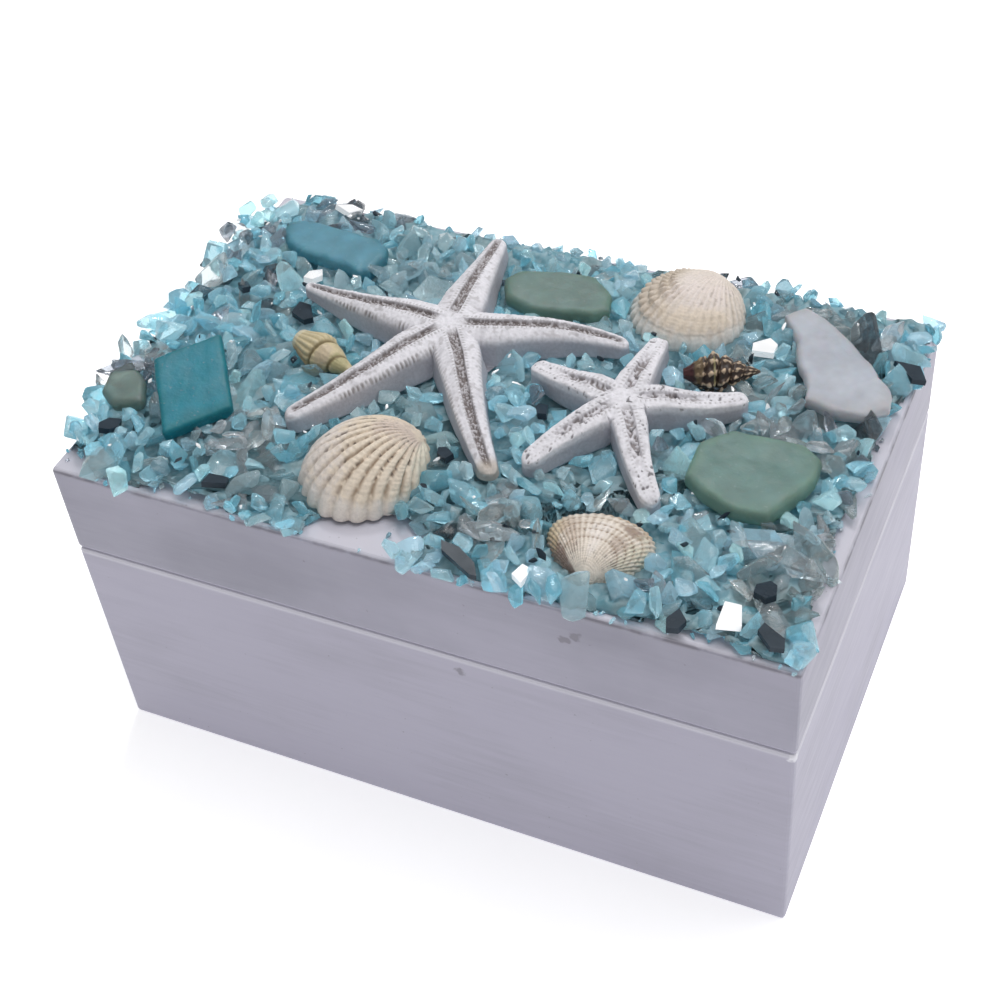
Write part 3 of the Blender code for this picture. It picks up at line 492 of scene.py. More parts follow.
seaGlass = {
    # node: slot, colour in the middle, colour at the rim, how far the sea has worn it, clarity, shear
    "teal_sea_glass": ("teal_sea_glass", (0.012, 0.335, 0.445), (0.006, 0.28, 0.35), 0.25, 0.45, 16.0),
    "blue_sea_glass": ("blue_sea_glass", (0.15, 0.425, 0.555), (0.09, 0.34, 0.44), 0.35, 0.40, 0.0),
    "back_green_sea_glass": ("green_sea_glass", (0.225, 0.345, 0.315), (0.19, 0.33, 0.27), 0.6, 0.40, 0.0),
    "front_green_sea_glass": ("green_sea_glass", (0.215, 0.37, 0.34), (0.235, 0.40, 0.33), 0.9, 0.40, 0.0),
    "frosted_sea_glass": ("frosted_sea_glass", (0.655, 0.69, 0.775), (0.60, 0.61, 0.65), 0.2, 0.35, 0.0),
    "olive_sea_glass": ("olive_sea_glass", (0.32, 0.43, 0.39), (0.20, 0.30, 0.27), 0.4, 0.60, 0.0),
}


glassOutlines = {  # where two of the pieces show a sharper outline, in mm
    "blue_sea_glass": (
        (-76.6, 33.9), (-76.7, 38.6), (-74.8, 40.5), (-69.6, 40.9), (-62.2, 39.9), (-56.4, 39.5),
        (-50.1, 38.9), (-46.8, 36.2), (-45.6, 32.9), (-46.2, 29.5), (-46.8, 25.9), (-48.8, 24.3),
        (-52.3, 25.5), (-56.7, 26.2), (-61.7, 27.2), (-67.7, 27.8), (-73.5, 30.5)),
    "frosted_sea_glass": (
        (54.7, 42.5), (57.4, 45.9), (59.7, 47.2), (63.4, 45.6), (67.9, 41.9), (72.4, 38.0), (75.9, 34.1),
        (79.9, 30.6), (82.5, 27.0), (85.2, 24.6), (86.3, 22.1), (86.6, 18.3), (82.6, 13.7), (76.1, 12.9),
        (73.8, 12.9), (68.0, 14.6), (66.9, 19.1), (65.2, 22.9), (63.6, 25.0), (62.0, 28.5), (60.0, 33.9),
        (57.0, 38.5)),
}
tealTile = {"side": 51.0, "widen": 1.08, "aside": 0.8}  # heading of its long side, growth, shift
seaGlassGrid = 0.45  # how fine the sea glass is meshed


def makeSeaGlass(name, clarity):
    material, tree, shader = newMaterial(name, 0.5, Transmission_Weight=clarity, IOR=1.5,
                                         Subsurface_Weight=0.25, Subsurface_Scale=0.003)
    cloud = noiseAt(tree, 130, 4.0)
    tint = addNode(tree, "Attribute", attribute_name="tint").outputs["Color"]
    shade = spread(tree, cloud, 0.3, 0.7, 0.92, 1.06)
    shade = addNode(tree, "CombineColor", {"Red": shade, "Green": shade, "Blue": shade}).outputs["Color"]
    tint = tintMix(tree, 1.0, tint, shade, "MULTIPLY")
    salt = spread(tree, noiseAt(tree, 1100, 2.0), 0.66, 0.74)
    tint = tintMix(tree, combine(tree, salt, 0.18), tint, (0.75, 0.80, 0.82, 1))
    tree.links.new(tint, shader.inputs["Base Color"])
    tree.links.new(spread(tree, cloud, 0.3, 0.7, 0.38, 0.60), shader.inputs["Roughness"])
    bumpInto(tree, shader, noiseAt(tree, 900, 4.0), 0.00012)
    return material


def fitOutline(flat, outline):  # stretches a flat shape from its middle to the outline
    ring = np.array(outline + outline[:1])
    sides = zip(ring[:-1], ring[1:])
    dense = np.concatenate([start + (end - start) * np.linspace(0, 1, 20)[:, None] for start, end in sides])
    middle = (dense.min(0) + dense.max(0)) / 2
    away = flat - (flat.min(0) + flat.max(0)) / 2
    wanted = dense - middle
    turn = np.arctan2(away[:, 1], away[:, 0])
    own = np.zeros(90)
    np.maximum.at(own, np.round(turn / math.tau * 90).astype(int) % 90, np.hypot(away[:, 0], away[:, 1]))
    has = np.interp(turn, np.arange(90) / 90 * math.tau, own, period=math.tau)
    ways = np.arctan2(wanted[:, 1], wanted[:, 0])
    reach = np.interp(turn, ways, np.hypot(wanted[:, 0], wanted[:, 1]), period=math.tau)
    return middle + away * np.clip(reach / has, 0.7, 1.3)[:, None]


def wornMesh(node, wear):  # the CAD piece finely meshed, its edges rounded by the sea
    piece = bpy.data.objects.new("worn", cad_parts[node].data.copy())
    bpy.context.scene.collection.objects.link(piece)
    remesh = piece.modifiers.new("remesh", "REMESH")
    remesh.mode = "VOXEL"
    remesh.voxel_size = seaGlassGrid * mm
    tumbled = piece.modifiers.new("tumbled", "SMOOTH")
    tumbled.iterations = round(14 * wear)
    tumbled.factor = 0.6
    graph = bpy.context.evaluated_depsgraph_get()
    worn = bpy.data.meshes.new_from_object(piece.evaluated_get(graph))
    bpy.data.objects.remove(piece)
    return worn


def skewTile(away, shear):  # turns the short sides of the tile about its middle
    side = math.radians(tealTile["side"])
    first = np.array((math.cos(side), math.sin(side)))
    second = np.array((first[1], -first[0]))
    turned = math.radians(tealTile["side"] - 90 - shear)
    along, across = away @ first, (away @ second) * tealTile["widen"] + tealTile["aside"]
    return along[:, None] * first + across[:, None] * (math.cos(turned), math.sin(turned))


def buildSeaGlass(node, slot, middle, rim, wear, clarity, shear):
    worn = wornMesh(node, wear)
    points = vectorsOf(worn, "co") / mm
    normals = vectorsOf(worn, "normal")
    dents = 0.30 * grain(points, 6.0, 21) + 0.16 * grain(points, 2.2, 22) - 0.05
    points = points + normals * (dents * (0.4 + 0.6 * wear))[:, None]
    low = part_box(node)[0].z / mm
    points[:, 2] = np.maximum(points[:, 2], low)
    centre = points.mean(0)
    away = points[:, :2] - centre[:2]
    if shear:
        away = skewTile(away, shear)
        points[:, :2] = centre[:2] + away
    if node in glassOutlines:
        points[:, :2] = fitOutline(points[:, :2], glassOutlines[node])
        away = points[:, :2] - points[:, :2].mean(0)
    turn = np.arctan2(away[:, 1], away[:, 0])
    far = np.hypot(away[:, 0], away[:, 1])
    bins = np.floor((turn / math.tau + 0.5) * 72).astype(int) % 72
    outline = np.zeros(72)
    np.maximum.at(outline, bins, far)
    edge = between(far / np.maximum(outline[bins], 1e-6) + 0.10 * grain(points, 3.0, 23), 0.70, 0.98)
    edge = np.maximum(edge, 1 - between(normals[:, 2], 0.4, 0.9))
    cloudy = 1 + 0.10 * grain(points, 3.5, 24) + 0.06 * grain(points, 1.2, 25)
    tint = blend(middle, rim, edge) * cloudy[:, None]
    mesh = newMesh(node, points, [tuple(face.vertices) for face in worn.polygons], tint)
    material = makeSeaGlass(node + "Finish", clarity)
    return addPiece(node.replace("_", ""), mesh, material, node)


seaGlassPieces = [buildSeaGlass(node, *values) for node, values in seaGlass.items()]
print("sea glass made:", len(seaGlassPieces))


mirror = {
    "dark": (6, 7, 8, 9, 10, 11, 12, 13, 14, 15, 16),  # shards that face away from the light, painted dark as a painted dark reflection
    "bright": (0.90, 0.91, 0.93), "shade": (0.036, 0.053, 0.072),
}


def makeMirror(name, colour, roughness, metal, glow, shine):
    material, tree, shader = newMaterial(name, roughness, Metallic=metal, Emission_Strength=glow,
                                         Specular_IOR_Level=shine)
    shader.inputs["Emission Color"].default_value = (1, 1, 1, 1)
    cloud = noiseAt(tree, 300, 3.0)
    tint = tintMix(tree, spread(tree, cloud, 0.3, 0.7), colour + (1,),
                   tuple(channel * 0.75 for channel in colour) + (1,))
    tree.links.new(tint, shader.inputs["Base Color"])
    tree.links.new(spread(tree, cloud, 0.3, 0.7, roughness, roughness + 0.06),
                   shader.inputs["Roughness"])
    return material


# the bright finish is white and glows: a painted reflection of the lamps; the dark finish is a painted dark
# reflection
mirrorFinish = {
    "bright": makeMirror("paintedLightMirror", mirror["bright"], 0.25, 0.3, 0.35, 0.5),
    "dark": makeMirror("paintedShadeMirror", mirror["shade"], 0.22, 0.0, 0.0, 0.12),
}
for name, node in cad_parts.items():
    if name.startswith("mirror_shard_"):
        node.data.materials.clear()
        dark = int(name[-2:]) in mirror["dark"]
        node.data.materials.append(mirrorFinish["dark" if dark else "bright"])
print("mirror shards finished")


# Cockles and clam

frontCockle = {
    "node": "front_cockle_shell", "slot": "cream_shell", "place": (-0.192 * 89, -0.600 * 56.5),
    "heading": 62.0, "length": 31.5, "width": 28.5, "height": 12.5, "point": 0.12,
    "rays": 460, "rings": 104, "ribs": 23, "ribDepth": 0.72, "narrow": 3.0, "scallop": 0.35,
    "lift": 0.9, "knob": 0.10, "knobs": 20, "seed": 51, "beak": (0.84, -0.24), "shift": (-0.5, -0.6, 0.0),
    "tilt": 0.0, "knobby": (-180, -170), "trim": 0.14, "bald": (170, 180), "lines": 0.0,
    # how deep the ribs are: degrees from the middle rib, strength
    "ribbed": ((-180, 0.2), (-110, 0.5), (-60, 0.8), (-40, 0.9), (10, 1.0), (35, 0.55), (60, 0.3),
               (180, 0.1)),
    "growth": ((0.86, 0.10), (0.70, 0.06)),
    "crest": (0.81, 0.70, 0.575), "groove": (0.31, 0.22, 0.15), "grooveShare": 0.95,
    "dot": (0.07, 0.05, 0.04), "dots": 0.9, "inside": (0.45, 0.42, 0.40),
    # patches: degrees, reach, half sizes, colour, strength
    "patches": ((38, 0.85, 40, 0.30, (0.82, 0.75, 0.72), 0.8), (0, 1.0, 60, 0.09, (0.80, 0.75, 0.72), 0.7),
                (-60, 0.6, 24, 0.6, (0.80, 0.76, 0.64), 0.9), (20, 0.20, 60, 0.18, (0.56, 0.46, 0.43), 0.6),
                (60, 0.40, 26, 0.3, (0.78, 0.66, 0.52), 0.5)),
}
backCockle = {
    "node": "back_cockle_shell", "slot": "cream_shell", "place": (0.373 * 89, 0.735 * 56.5),
    "heading": 78.0, "length": 28.5, "width": 28.0, "height": 10.2, "point": 0.12,
    "rays": 460, "rings": 104, "ribs": 34, "ribDepth": 0.50, "narrow": 1.3, "scallop": 0.25,
    "lift": 1.6, "knob": 0.9, "knobs": 9, "seed": 52, "beak": (0.86, -0.14), "shift": (-0.6, -1.7, -2.2),
    "tilt": 0.0, "knobby": (8, 30), "trim": 0.06, "bald": (0, 20), "lines": 0.15,
    "ribbed": ((-180, 0.3), (-60, 0.75), (-20, 0.55), (5, 0.45), (20, 1.3), (60, 1.6), (100, 0.8),
               (180, 0.3)),
    "growth": ((0.93, 0.12), (0.80, 0.06), (0.62, 0.05)),
    "crest": (0.775, 0.69, 0.62), "groove": (0.42, 0.335, 0.24), "grooveShare": 0.65,
    "dot": (0.15, 0.11, 0.08), "dots": 0.35, "inside": (0.62, 0.60, 0.58),
    "patches": ((42, 0.75, 30, 0.35, (0.48, 0.40, 0.30), 0.55), (-5, 0.45, 40, 0.35, (0.84, 0.75, 0.72), 0.7),
                (-10, 0.80, 30, 0.14, (0.82, 0.69, 0.53), 0.6), (0, 1.0, 90, 0.09, (0.77, 0.75, 0.72), 0.9)),
}
clam = {
    "node": "striped_clam_shell", "slot": "striped_shell", "place": (0.460 * 89, -0.700 * 56.5),
    "heading": -88.0, "length": 19.5, "width": 23.5, "height": 6.4, "point": 0.75,
    "rays": 540, "rings": 94, "ribs": 46, "ribDepth": 0.26, "narrow": 1.2, "scallop": 0.22,
    "lift": 1.0, "knob": 0.5, "knobs": 15, "seed": 53, "beak": (0.96, 0.0), "shift": (-0.9, -1.5, -1.6),
    "tilt": 8.0, "knobby": (-180, -170), "trim": 0.0, "bald": (170, 180), "lines": 1.0,
    "ribbed": ((-180, 0.6), (-60, 0.9), (-12, 0.6), (12, 0.5), (30, 0.8), (60, 0.6), (180, 0.5)),
    "growth": ((0.94, 0.12), (0.84, 0.14), (0.72, 0.14), (0.62, 0.13), (0.50, 0.08)),
    "crest": (0.84, 0.755, 0.665), "groove": (0.36, 0.265, 0.19), "grooveShare": 0.9,
    "dot": (0.12, 0.075, 0.06), "dots": 0.7, "inside": (0.30, 0.13, 0.035),
    "patches": ((-52, 0.55, 9, 0.65, (0.20, 0.11, 0.09), 0.9), (-40, 0.86, 12, 0.22, (0.66, 0.52, 0.32), 0.8),
                (-28, 0.65, 12, 0.35, (0.55, 0.43, 0.35), 0.6), (2, 0.52, 14, 0.28, (0.90, 0.83, 0.78), 0.9),
                (24, 0.84, 13, 0.10, (0.26, 0.17, 0.13), 0.85), (18, 0.97, 30, 0.05, (0.66, 0.46, 0.28), 0.6),
                (46, 0.80, 14, 0.35, (0.74, 0.70, 0.54), 0.7), (28, 0.58, 12, 0.12, (0.50, 0.40, 0.34), 0.7),
                (76, 0.95, 20, 0.22, (0.36, 0.16, 0.05), 1.0)),
}


def bivalve(shell):  # points and tints of a dome whose ribs fan out from the beak, towards +X
    half = shell["length"] / 2
    angle = np.linspace(0, 2 * math.pi, shell["rays"], endpoint=False)
    wide = np.sin(angle) * abs(np.sin(angle / 2)) ** shell["point"]
    margin = np.stack([np.cos(angle) * half, wide / wide.max() * shell["width"] / 2], 1)
    beak, apex = np.array(shell["beak"]) * half, np.array((0.16 * half, 0.0))
    # the dorsal end on the right is cut back
    cut = between(margin[:, 0], -0.2 * half, 0.6 * half) * (margin[:, 1] < 0)
    margin[:, 1] *= 1 - shell["trim"] * cut
    fromBeak = margin - beak
    sideway = np.arctan2(fromBeak[:, 1], -fromBeak[:, 0])
    order = np.argsort(sideway)
    share = np.linspace(0, 1, shell["rings"])[:, None] ** 0.8 * np.ones(shell["rays"])
    plan = apex + (margin - apex) * share[..., None]
    away = plan - beak
    side = np.arctan2(away[..., 1], -away[..., 0])
    around = np.interp(side, sideway[order], angle[order])
    farthest = np.interp(side, sideway[order], np.hypot(fromBeak[:, 0], fromBeak[:, 1])[order])
    reach = np.hypot(away[..., 0], away[..., 1]) / farthest
    flat = np.concatenate([plan, share[..., None] * 0], 2).reshape(-1, 3)
    coarse = grain(flat, 4.0, shell["seed"]).reshape(share.shape)
    fine = grain(flat, 0.7, shell["seed"] + 1).reshape(share.shape)
    degrees = np.degrees(side)
    strength = np.minimum(1, 2.0 * reach) * np.interp(degrees, *zip(*shell["ribbed"]))
    wave = np.cos(shell["ribs"] * (around - math.pi) + 0.6 * coarse)
    groove = ((1 - wave) / 2) ** shell["narrow"]
    knobs = np.cos(2 * math.pi * shell["knobs"] * reach + 1.2 * coarse) * between(degrees, *shell["knobby"])
    knobs = knobs * between(reach, 0.40, 0.60)
    strength = strength * (1 - 0.45 * between(reach, 0.86, 1.0))
    bald = between(degrees, *shell["bald"]) * between(reach, 0.62, 0.45)
    strength = strength * (1 - 0.85 * bald)
    rib = shell["ribDepth"] * strength * (0.25 - groove + shell["knob"] * knobs * (1 - groove))
    rib += 0.05 * fine + 0.10 * coarse + 0.02 * np.cos(2 * math.pi * 34 * reach)
    lines = 0 * reach
    for line, depth in shell["growth"]:
        near = np.exp(-((reach - line + 0.012 * coarse) / 0.014) ** 2)
        rib -= depth * near
        lines += near * (0.3 + 0.7 * groove)
    dome = np.clip(1 - share ** 2.2, 0, 1) ** 0.62
    lift = shell["lift"] * (1 + 0.3 * coarse[-1])
    outward = plan - apex
    outward = outward / np.maximum(np.linalg.norm(outward, axis=2, keepdims=True), 1e-6)
    lean = between(share, 0.35, 1.0)
    outwards = rib * lean + shell["scallop"] * 0.5 * wave * between(share, 0.80, 1.0)
    points = np.empty(share.shape + (3,))
    points[..., :2] = plan + outward * outwards[..., None]
    points[..., 2] = lift + (shell["height"] - lift) * dome + rib * (1 - lean)
    tint = blend(shell["crest"], shell["groove"],
                 (groove * np.clip(strength, 0, 1) * between(fine, -0.9, 0.3)).ravel()
                 * shell["grooveShare"])
    ragged = grain(flat, 2.2, shell["seed"] + 2)
    for middle, far, halfSide, halfReach, colour, how in shell["patches"]:
        inside = 1 - ((degrees.ravel() - middle) / halfSide) ** 2 - ((reach.ravel() - far) / halfReach) ** 2
        keep = 1 - 0.5 * (groove * np.clip(strength, 0, 1)).ravel()
        rough = 0.6 * ragged + 0.35 * fine.ravel()
        tint = blend(tint, colour, how * keep * between(inside + rough, -0.3, 0.9))
    tint = blend(tint, shell["groove"], shell["lines"] * np.clip(lines, 0, 1).ravel())
    spots = grain(flat, 0.75, shell["seed"] + 3)
    speckled = between(spots, 0.15, 0.45) * groove.ravel() * np.clip(2 * strength, 0, 1).ravel()
    speckled = speckled * between(reach.ravel(), 1.0, 0.60) * between(ragged, -0.7, 0.1)
    tint = blend(tint, shell["dot"], shell["dots"] * speckled)
    return points, tint.reshape(share.shape + (3,)), outward[-1]


def settleShell(shell, points):  # turned to its heading and set down on the heap
    turn = math.radians(shell["heading"])
    dip = math.radians(shell["tilt"])
    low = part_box(shell["node"])[0].z / mm
    nod = np.array(((math.cos(dip), 0, -math.sin(dip)), (0, 1, 0), (math.sin(dip), 0, math.cos(dip))))
    spin = np.array(((math.cos(turn), math.sin(turn), 0), (-math.sin(turn), math.cos(turn), 0), (0, 0, 1)))
    points = points.reshape(-1, 3) @ nod @ spin + (*shell["place"], low) + shell["shift"]
    points[:, 2] = np.maximum(points[:, 2], lidTop + 0.1)
    return points


def buildBivalve(shell, material):
    points, tint, outward = bivalve(shell)
    under, underTint = [], []
    # rows under the margin, darker row by row inward: painted shade under the shell
    for inset, level, shade in ((0.25, 0.55, 0.9), (0.9, 0.35, 0.6), (1.6, 0.0, 0.35)):
        row = points[-1].copy()
        row[:, :2] -= outward * inset
        row[:, 2] *= level
        under.append(row)
        underTint.append(np.array(shell["inside"]) * shade * np.ones((len(row), 1)))
    points = np.concatenate([points, np.stack(under)])
    tint = np.concatenate([tint, np.stack(underTint)])
    mesh = newMesh(shell["node"], settleShell(shell, points), gridFaces(len(points), shell["rays"], True),
                   tint.reshape(-1, 3))
    closeUp(mesh, 2e-6)
    return addPiece(shell["node"].replace("_", ""), mesh, material, shell["node"])


# Whelks

yellowWhelk = {
    "node": "yellow_whelk_shell", "slot": "yellow_shell", "place": (-0.506 * 89, -0.066 * 56.5),
    "heading": -21.0, "length": 19.5, "width": 9.2, "whorl": 0.26, "canal": 0.58, "bump": 0.10,
    "tilt": 0.0, "shift": (2.9, -2.3, -2.1),
    "ribs": 17, "ribDepth": 0.035, "knob": 0.0, "cords": 1, "slant": 0.0, "seed": 61,
    "spire": 0.30, "smoothSpire": 0.8,
    "base": (0.63, 0.535, 0.33), "groove": (0.30, 0.235, 0.12), "suture": (0.22, 0.17, 0.08),
    "cream": (0.66, 0.60, 0.44), "creamShare": 0.35, "grooveShare": 0.45,
    # patches: share of the length, degrees round the axis, half sizes, colour, strength
    "patches": ((0.55, 130, 0.10, 60, (0.58, 0.47, 0.34), 0.7),
                (0.20, 190, 0.22, 40, (0.42, 0.25, 0.10), 0.7),
                (0.78, 120, 0.12, 90, (0.40, 0.37, 0.18), 0.7),
                (0.02, 100, 0.06, 90, (0.68, 0.64, 0.50), 0.7)),
}
spottedWhelk = {
    "node": "spotted_whelk_shell", "slot": "spotted_shell", "place": (0.530 * 89, 0.336 * 56.5),
    "heading": 21.0, "length": 17.5, "width": 8.8, "whorl": 0.17, "canal": 0.26, "bump": 0.12,
    "tilt": 0.0, "shift": (0.5, -1.2, -2.2),
    "ribs": 9, "ribDepth": 0.10, "knob": 0.6, "cords": 2, "slant": 1.2, "seed": 62,
    "spire": 0.20, "smoothSpire": 0.0,
    "base": (0.055, 0.032, 0.022), "groove": (0.03, 0.018, 0.014), "suture": (0.035, 0.02, 0.015),
    "cream": (0.62, 0.47, 0.33), "creamShare": 0.95, "grooveShare": 0.8,
    "patches": ((0.05, 130, 0.09, 300, (0.060, 0.014, 0.016), 1.0),
                (0.40, 130, 0.014, 70, (0.40, 0.36, 0.16), 0.5),
                (0.20, 110, 0.06, 80, (0.20, 0.14, 0.07), 0.6)),
}
whelkRows, whelkColumns = 162, 228  # points along a whelk and round it


def buildWhelk(shell, material):  # spiral shell lying along +X, its spire at +X
    share = np.linspace(0, 1, whelkRows)[:, None] * np.ones(whelkColumns)
    turn = np.ones((whelkRows, 1)) * np.linspace(0, 1, whelkColumns, endpoint=False)
    angle = 2 * math.pi * turn
    along = (share + turn * shell["whorl"]) / shell["whorl"]
    body = shell["canal"] + (1 - shell["canal"]) * np.sin(np.clip(share / 0.42, 0, 1) * math.pi / 2) ** 1.3
    t = np.clip((share - 0.42) / 0.58, 0, 1)
    envelope = np.where(share < 0.42, body, (1 - t) ** 0.95 + 0.06 * t)
    swell = abs(np.sin(math.pi * along))
    onSpire = between(share, shell["spire"], shell["spire"] + 0.12)
    suture = (1 - swell) ** 2.5 * onSpire
    flat = np.stack([share * shell["length"], np.cos(angle) * 4.4, np.sin(angle) * 4.4], 2).reshape(-1, 3)
    coarse = grain(flat, 3.0, shell["seed"]).reshape(share.shape)
    fine = grain(flat, 0.6, shell["seed"] + 1).reshape(share.shape)
    wave = np.cos(shell["ribs"] * angle + shell["slant"] * 2 * math.pi * share + 0.3 * coarse)
    wave = wave * (1 - shell["smoothSpire"] * between(share, 0.40, 0.50))
    cord = np.cos(2 * math.pi * shell["cords"] * along + 0.6)
    knobs = shell["knob"] * np.maximum(wave, -0.3) * (1 + cord)
    relief = shell["ribDepth"] * (wave * (1 - shell["knob"]) + knobs)
    radius = shell["width"] / 2 * envelope * (1 - 2.2 * shell["bump"] * suture)
    radius *= 1 + relief * np.sin(math.pi * np.clip(share, 0.04, 0.96)) ** 0.6 * (1 - suture)
    radius += 0.04 * fine + 0.06 * coarse
    reach = shell["width"] / 2 * 1.02
    points = np.stack([shell["length"] * (share - 0.5), radius * np.cos(angle),
                       reach + radius * np.sin(angle)], 2)
    points[..., 2] = np.maximum(points[..., 2], 0)
    inGroove = between(-wave, 0.1, 0.9).ravel() * shell["grooveShare"] * (1 - 0.3 * t.ravel())
    tint = blend(shell["base"], shell["groove"], inGroove)
    raised = between(0.8 * wave + shell["knob"] * 0.9 * cord + 0.8 * fine, 0.25, 0.75)
    raised = raised * between(share, 0.1, 0.25)
    tint = blend(tint, shell["cream"], shell["creamShare"] * raised.ravel())
    ragged = grain(flat, 1.6, shell["seed"] + 2)
    for middle, around, halfShare, halfAngle, colour, how in shell["patches"]:
        turned = (np.degrees(angle.ravel()) - around + 180) % 360 - 180
        inside = 1 - ((share.ravel() - middle) / halfShare) ** 2 - (turned / halfAngle) ** 2
        tint = blend(tint, colour, how * between(inside + 0.4 * ragged, -0.1, 0.6))
    tint = blend(tint, shell["suture"], 0.85 * between(suture, 0.25, 0.7).ravel())
    mesh = newMesh(shell["node"], settleShell(shell, points), gridFaces(whelkRows, whelkColumns, True), tint)
    closeUp(mesh, 2e-6)
    return addPiece(shell["node"].replace("_", ""), mesh, material, shell["node"])


shellPieces = [
    buildBivalve(frontCockle, makeTinted("cockleShell", 0.62, 1500, 0.00010)),
    buildBivalve(backCockle, makeTinted("paleCockleShell", 0.60, 1500, 0.00010)),
    buildBivalve(clam, makeTinted("clamShell", 0.50, 2200, 0.00006)),
    buildWhelk(yellowWhelk, makeTinted("yellowWhelkShell", 0.45, 1800, 0.00006)),
    buildWhelk(spottedWhelk, makeTinted("spottedWhelkShell", 0.40, 1800, 0.00006)),
]
print("shells made:", [len(piece.data.polygons) for piece in shellPieces])


# Crushed glass, heaped and glued round the ornaments

heap = {
    "tries": 30000, "crumbTries": 2500, "seed": 5,
    "smallest": 2.6, "largest": 6.6, "sizeBias": 1.1, "packing": 0.50, "crumb": (0.4, 1.0),
    "chipShapes": 26, "crumbShapes": 16, "arris": 0.06,
    # small flakes of mirror on the heap, the bright ones painted glints, the dark ones painted dark
    # reflections: how many, how large, finish
    "flakes": (("paintedGlintFlakes", 60, (0.35, 0.8), "bright"), ("paintedShadeFlakes", 46, (0.6, 1.5), "dark")),
    "overhang": ((-4.4, -3.2), (1.6, 0.8)), "depth": 6.0, "sharp": 34,
    # the bed of grit and glue: how thick, how thick at most, how fine, its colours
    "bed": 1.2, "bedTop": 3.2, "bedStep": 0.63,
    "bedColours": ((0.16, 0.36, 0.43), (0.25, 0.37, 0.40), (0.31, 0.55, 0.64)),
    "rims": {"left": 0.8, "back": -3.0, "right": -0.5, "front": -0.6},  # how much higher it lies there
    # bare lid: middle, half size
    "bare": (((-89, -57), (9.5, 7.0)), ((-86, 55), (7, 5)), ((-30, 58.5), (22, 3.4)),
             ((20, 58.8), (20, 2.6)), ((76, 58.2), (9, 3.2)), ((-54, -57.5), (13, 3.2)),
             ((-12, -55), (11.5, 6.5)), ((-5, -50), (9, 4.5)), ((62, -57.5), (27, 2.6)),
             ((89, -20), (3.4, 26)), ((89.5, 14), (3.0, 14))),
    # where clear or smoky glass lies: middle, radius, kind, share
    "clusters": ((-62, 52, 13, "smoke", 0.4), (-80, 25, 12, "smoke", 0.4), (-84, -22, 9, "smoke", 0.3),
                 (-50, -36, 9, "clear", 0.8), (60, 8, 12, "clear", 0.75), (74, 6, 8, "clear", 0.7),
                 (82, -38, 12, "clear", 0.9), (18, -42, 8, "clear", 0.7), (-37, 38, 12, "grey", 0.6),
                 (82, 8, 7, "smoke", 0.7), (66, 46, 9, "clear", 0.7), (34, 54, 8, "smoke", 0.5),
                 (86, -18, 7, "clear", 0.5), (2, -22, 6, "smoke", 0.5), (-14, -14, 14, "grey", 0.6),
                 (-42, 22, 14, "grey", 0.5), (-58, -8, 10, "grey", 0.5), (14, 26, 12, "grey", 0.5),
                 (8, -36, 12, "grey", 0.4), (-30, -30, 9, "grey", 0.4), (40, -48, 7, "grey", 0.4)),
    "kinds": {
        "aqua": ((0.46, 0.80, 0.92), (0.60, 0.89, 0.98), (0.32, 0.69, 0.81), (0.62, 0.88, 1.0)),
        "grey": ((0.50, 0.69, 0.74), (0.38, 0.58, 0.66), (0.62, 0.80, 0.86)),
        "clear": ((0.80, 0.88, 0.90), (0.74, 0.84, 0.86), (0.86, 0.91, 0.95)),
        "smoke": ((0.42, 0.46, 0.52), (0.66, 0.70, 0.77), (0.22, 0.27, 0.31)),
    },
}


def chipShapes(count, rng, arris):  # angular lumps of unit radius, their arrises broken or sharp
    shapes = []
    for _ in range(count):
        bm = bmesh.new()
        corners = []
        while len(corners) < rng.randint(8, 12):
            way = Vector([rng.gauss(0, 1) for _ in range(3)]).normalized()
            if all((way - other).length > 0.45 for other in corners):
                corners.append(way)
        flat = rng.uniform(0.45, 0.85)
        narrow = rng.uniform(0.65, 1.0)
        for way in corners:
            way *= rng.uniform(0.82, 1.05)
            bm.verts.new((way.x, way.y * narrow, way.z * flat))
        bmesh.ops.convex_hull(bm, input=bm.verts)
        bmesh.ops.dissolve_limit(bm, angle_limit=math.radians(14), verts=bm.verts, edges=bm.edges)
        if arris:
            bmesh.ops.bevel(bm, geom=bm.edges[:], offset=arris, offset_type="OFFSET", segments=1,
                            profile=0.5, affect="EDGES", clamp_overlap=True)
        bmesh.ops.recalc_face_normals(bm, faces=bm.faces)
        bm.verts.index_update()
        shapes.append((np.array([vert.co for vert in bm.verts]),
                       [tuple(vert.index for vert in face.verts) for face in bm.faces]))
        bm.free()
    return shapes


def treeOf(pieces):  # one search tree round several pieces, in mm
    points, faces, start = [], [], 0
    for piece in pieces:
        mesh = piece.data
        mesh.calc_loop_triangles()
        sides = np.empty(len(mesh.loop_triangles) * 3, np.int64)
        mesh.loop_triangles.foreach_get("vertices", sides)
        points.append(vectorsOf(mesh, "co") / mm)
        faces.append(sides.reshape(-1, 3) + start)
        start += len(mesh.vertices)
    return BVHTree.FromPolygons(np.concatenate(points).tolist(), np.concatenate(faces).tolist())


def heapDepth(spots):  # how high the heap may lie over the lid
    x, y = spots[:, 0], spots[:, 1]
    rims = heap["rims"]
    return (heap["depth"] + 1.3 * grain(spots, 13, 31) + 0.8 * grain(spots, 5, 32)
            + rims["left"] * between(x, -74, -86) + rims["right"] * between(x, 74, 86)
            + rims["back"] * between(y, 43, 54) + rims["front"] * between(y, -43, -54))


def isBare(spots, slack):
    ragged = 1 + 0.25 * grain(spots, 4, 33)
    bare = np.zeros(len(spots), bool)
    for (middleX, middleY), (halfX, halfY) in heap["bare"]:
        away = ((spots[:, 0] - middleX) / (halfX + slack)) ** 2
        away += ((spots[:, 1] - middleY) / (halfY + slack)) ** 2
        bare |= away < ragged
    return bare


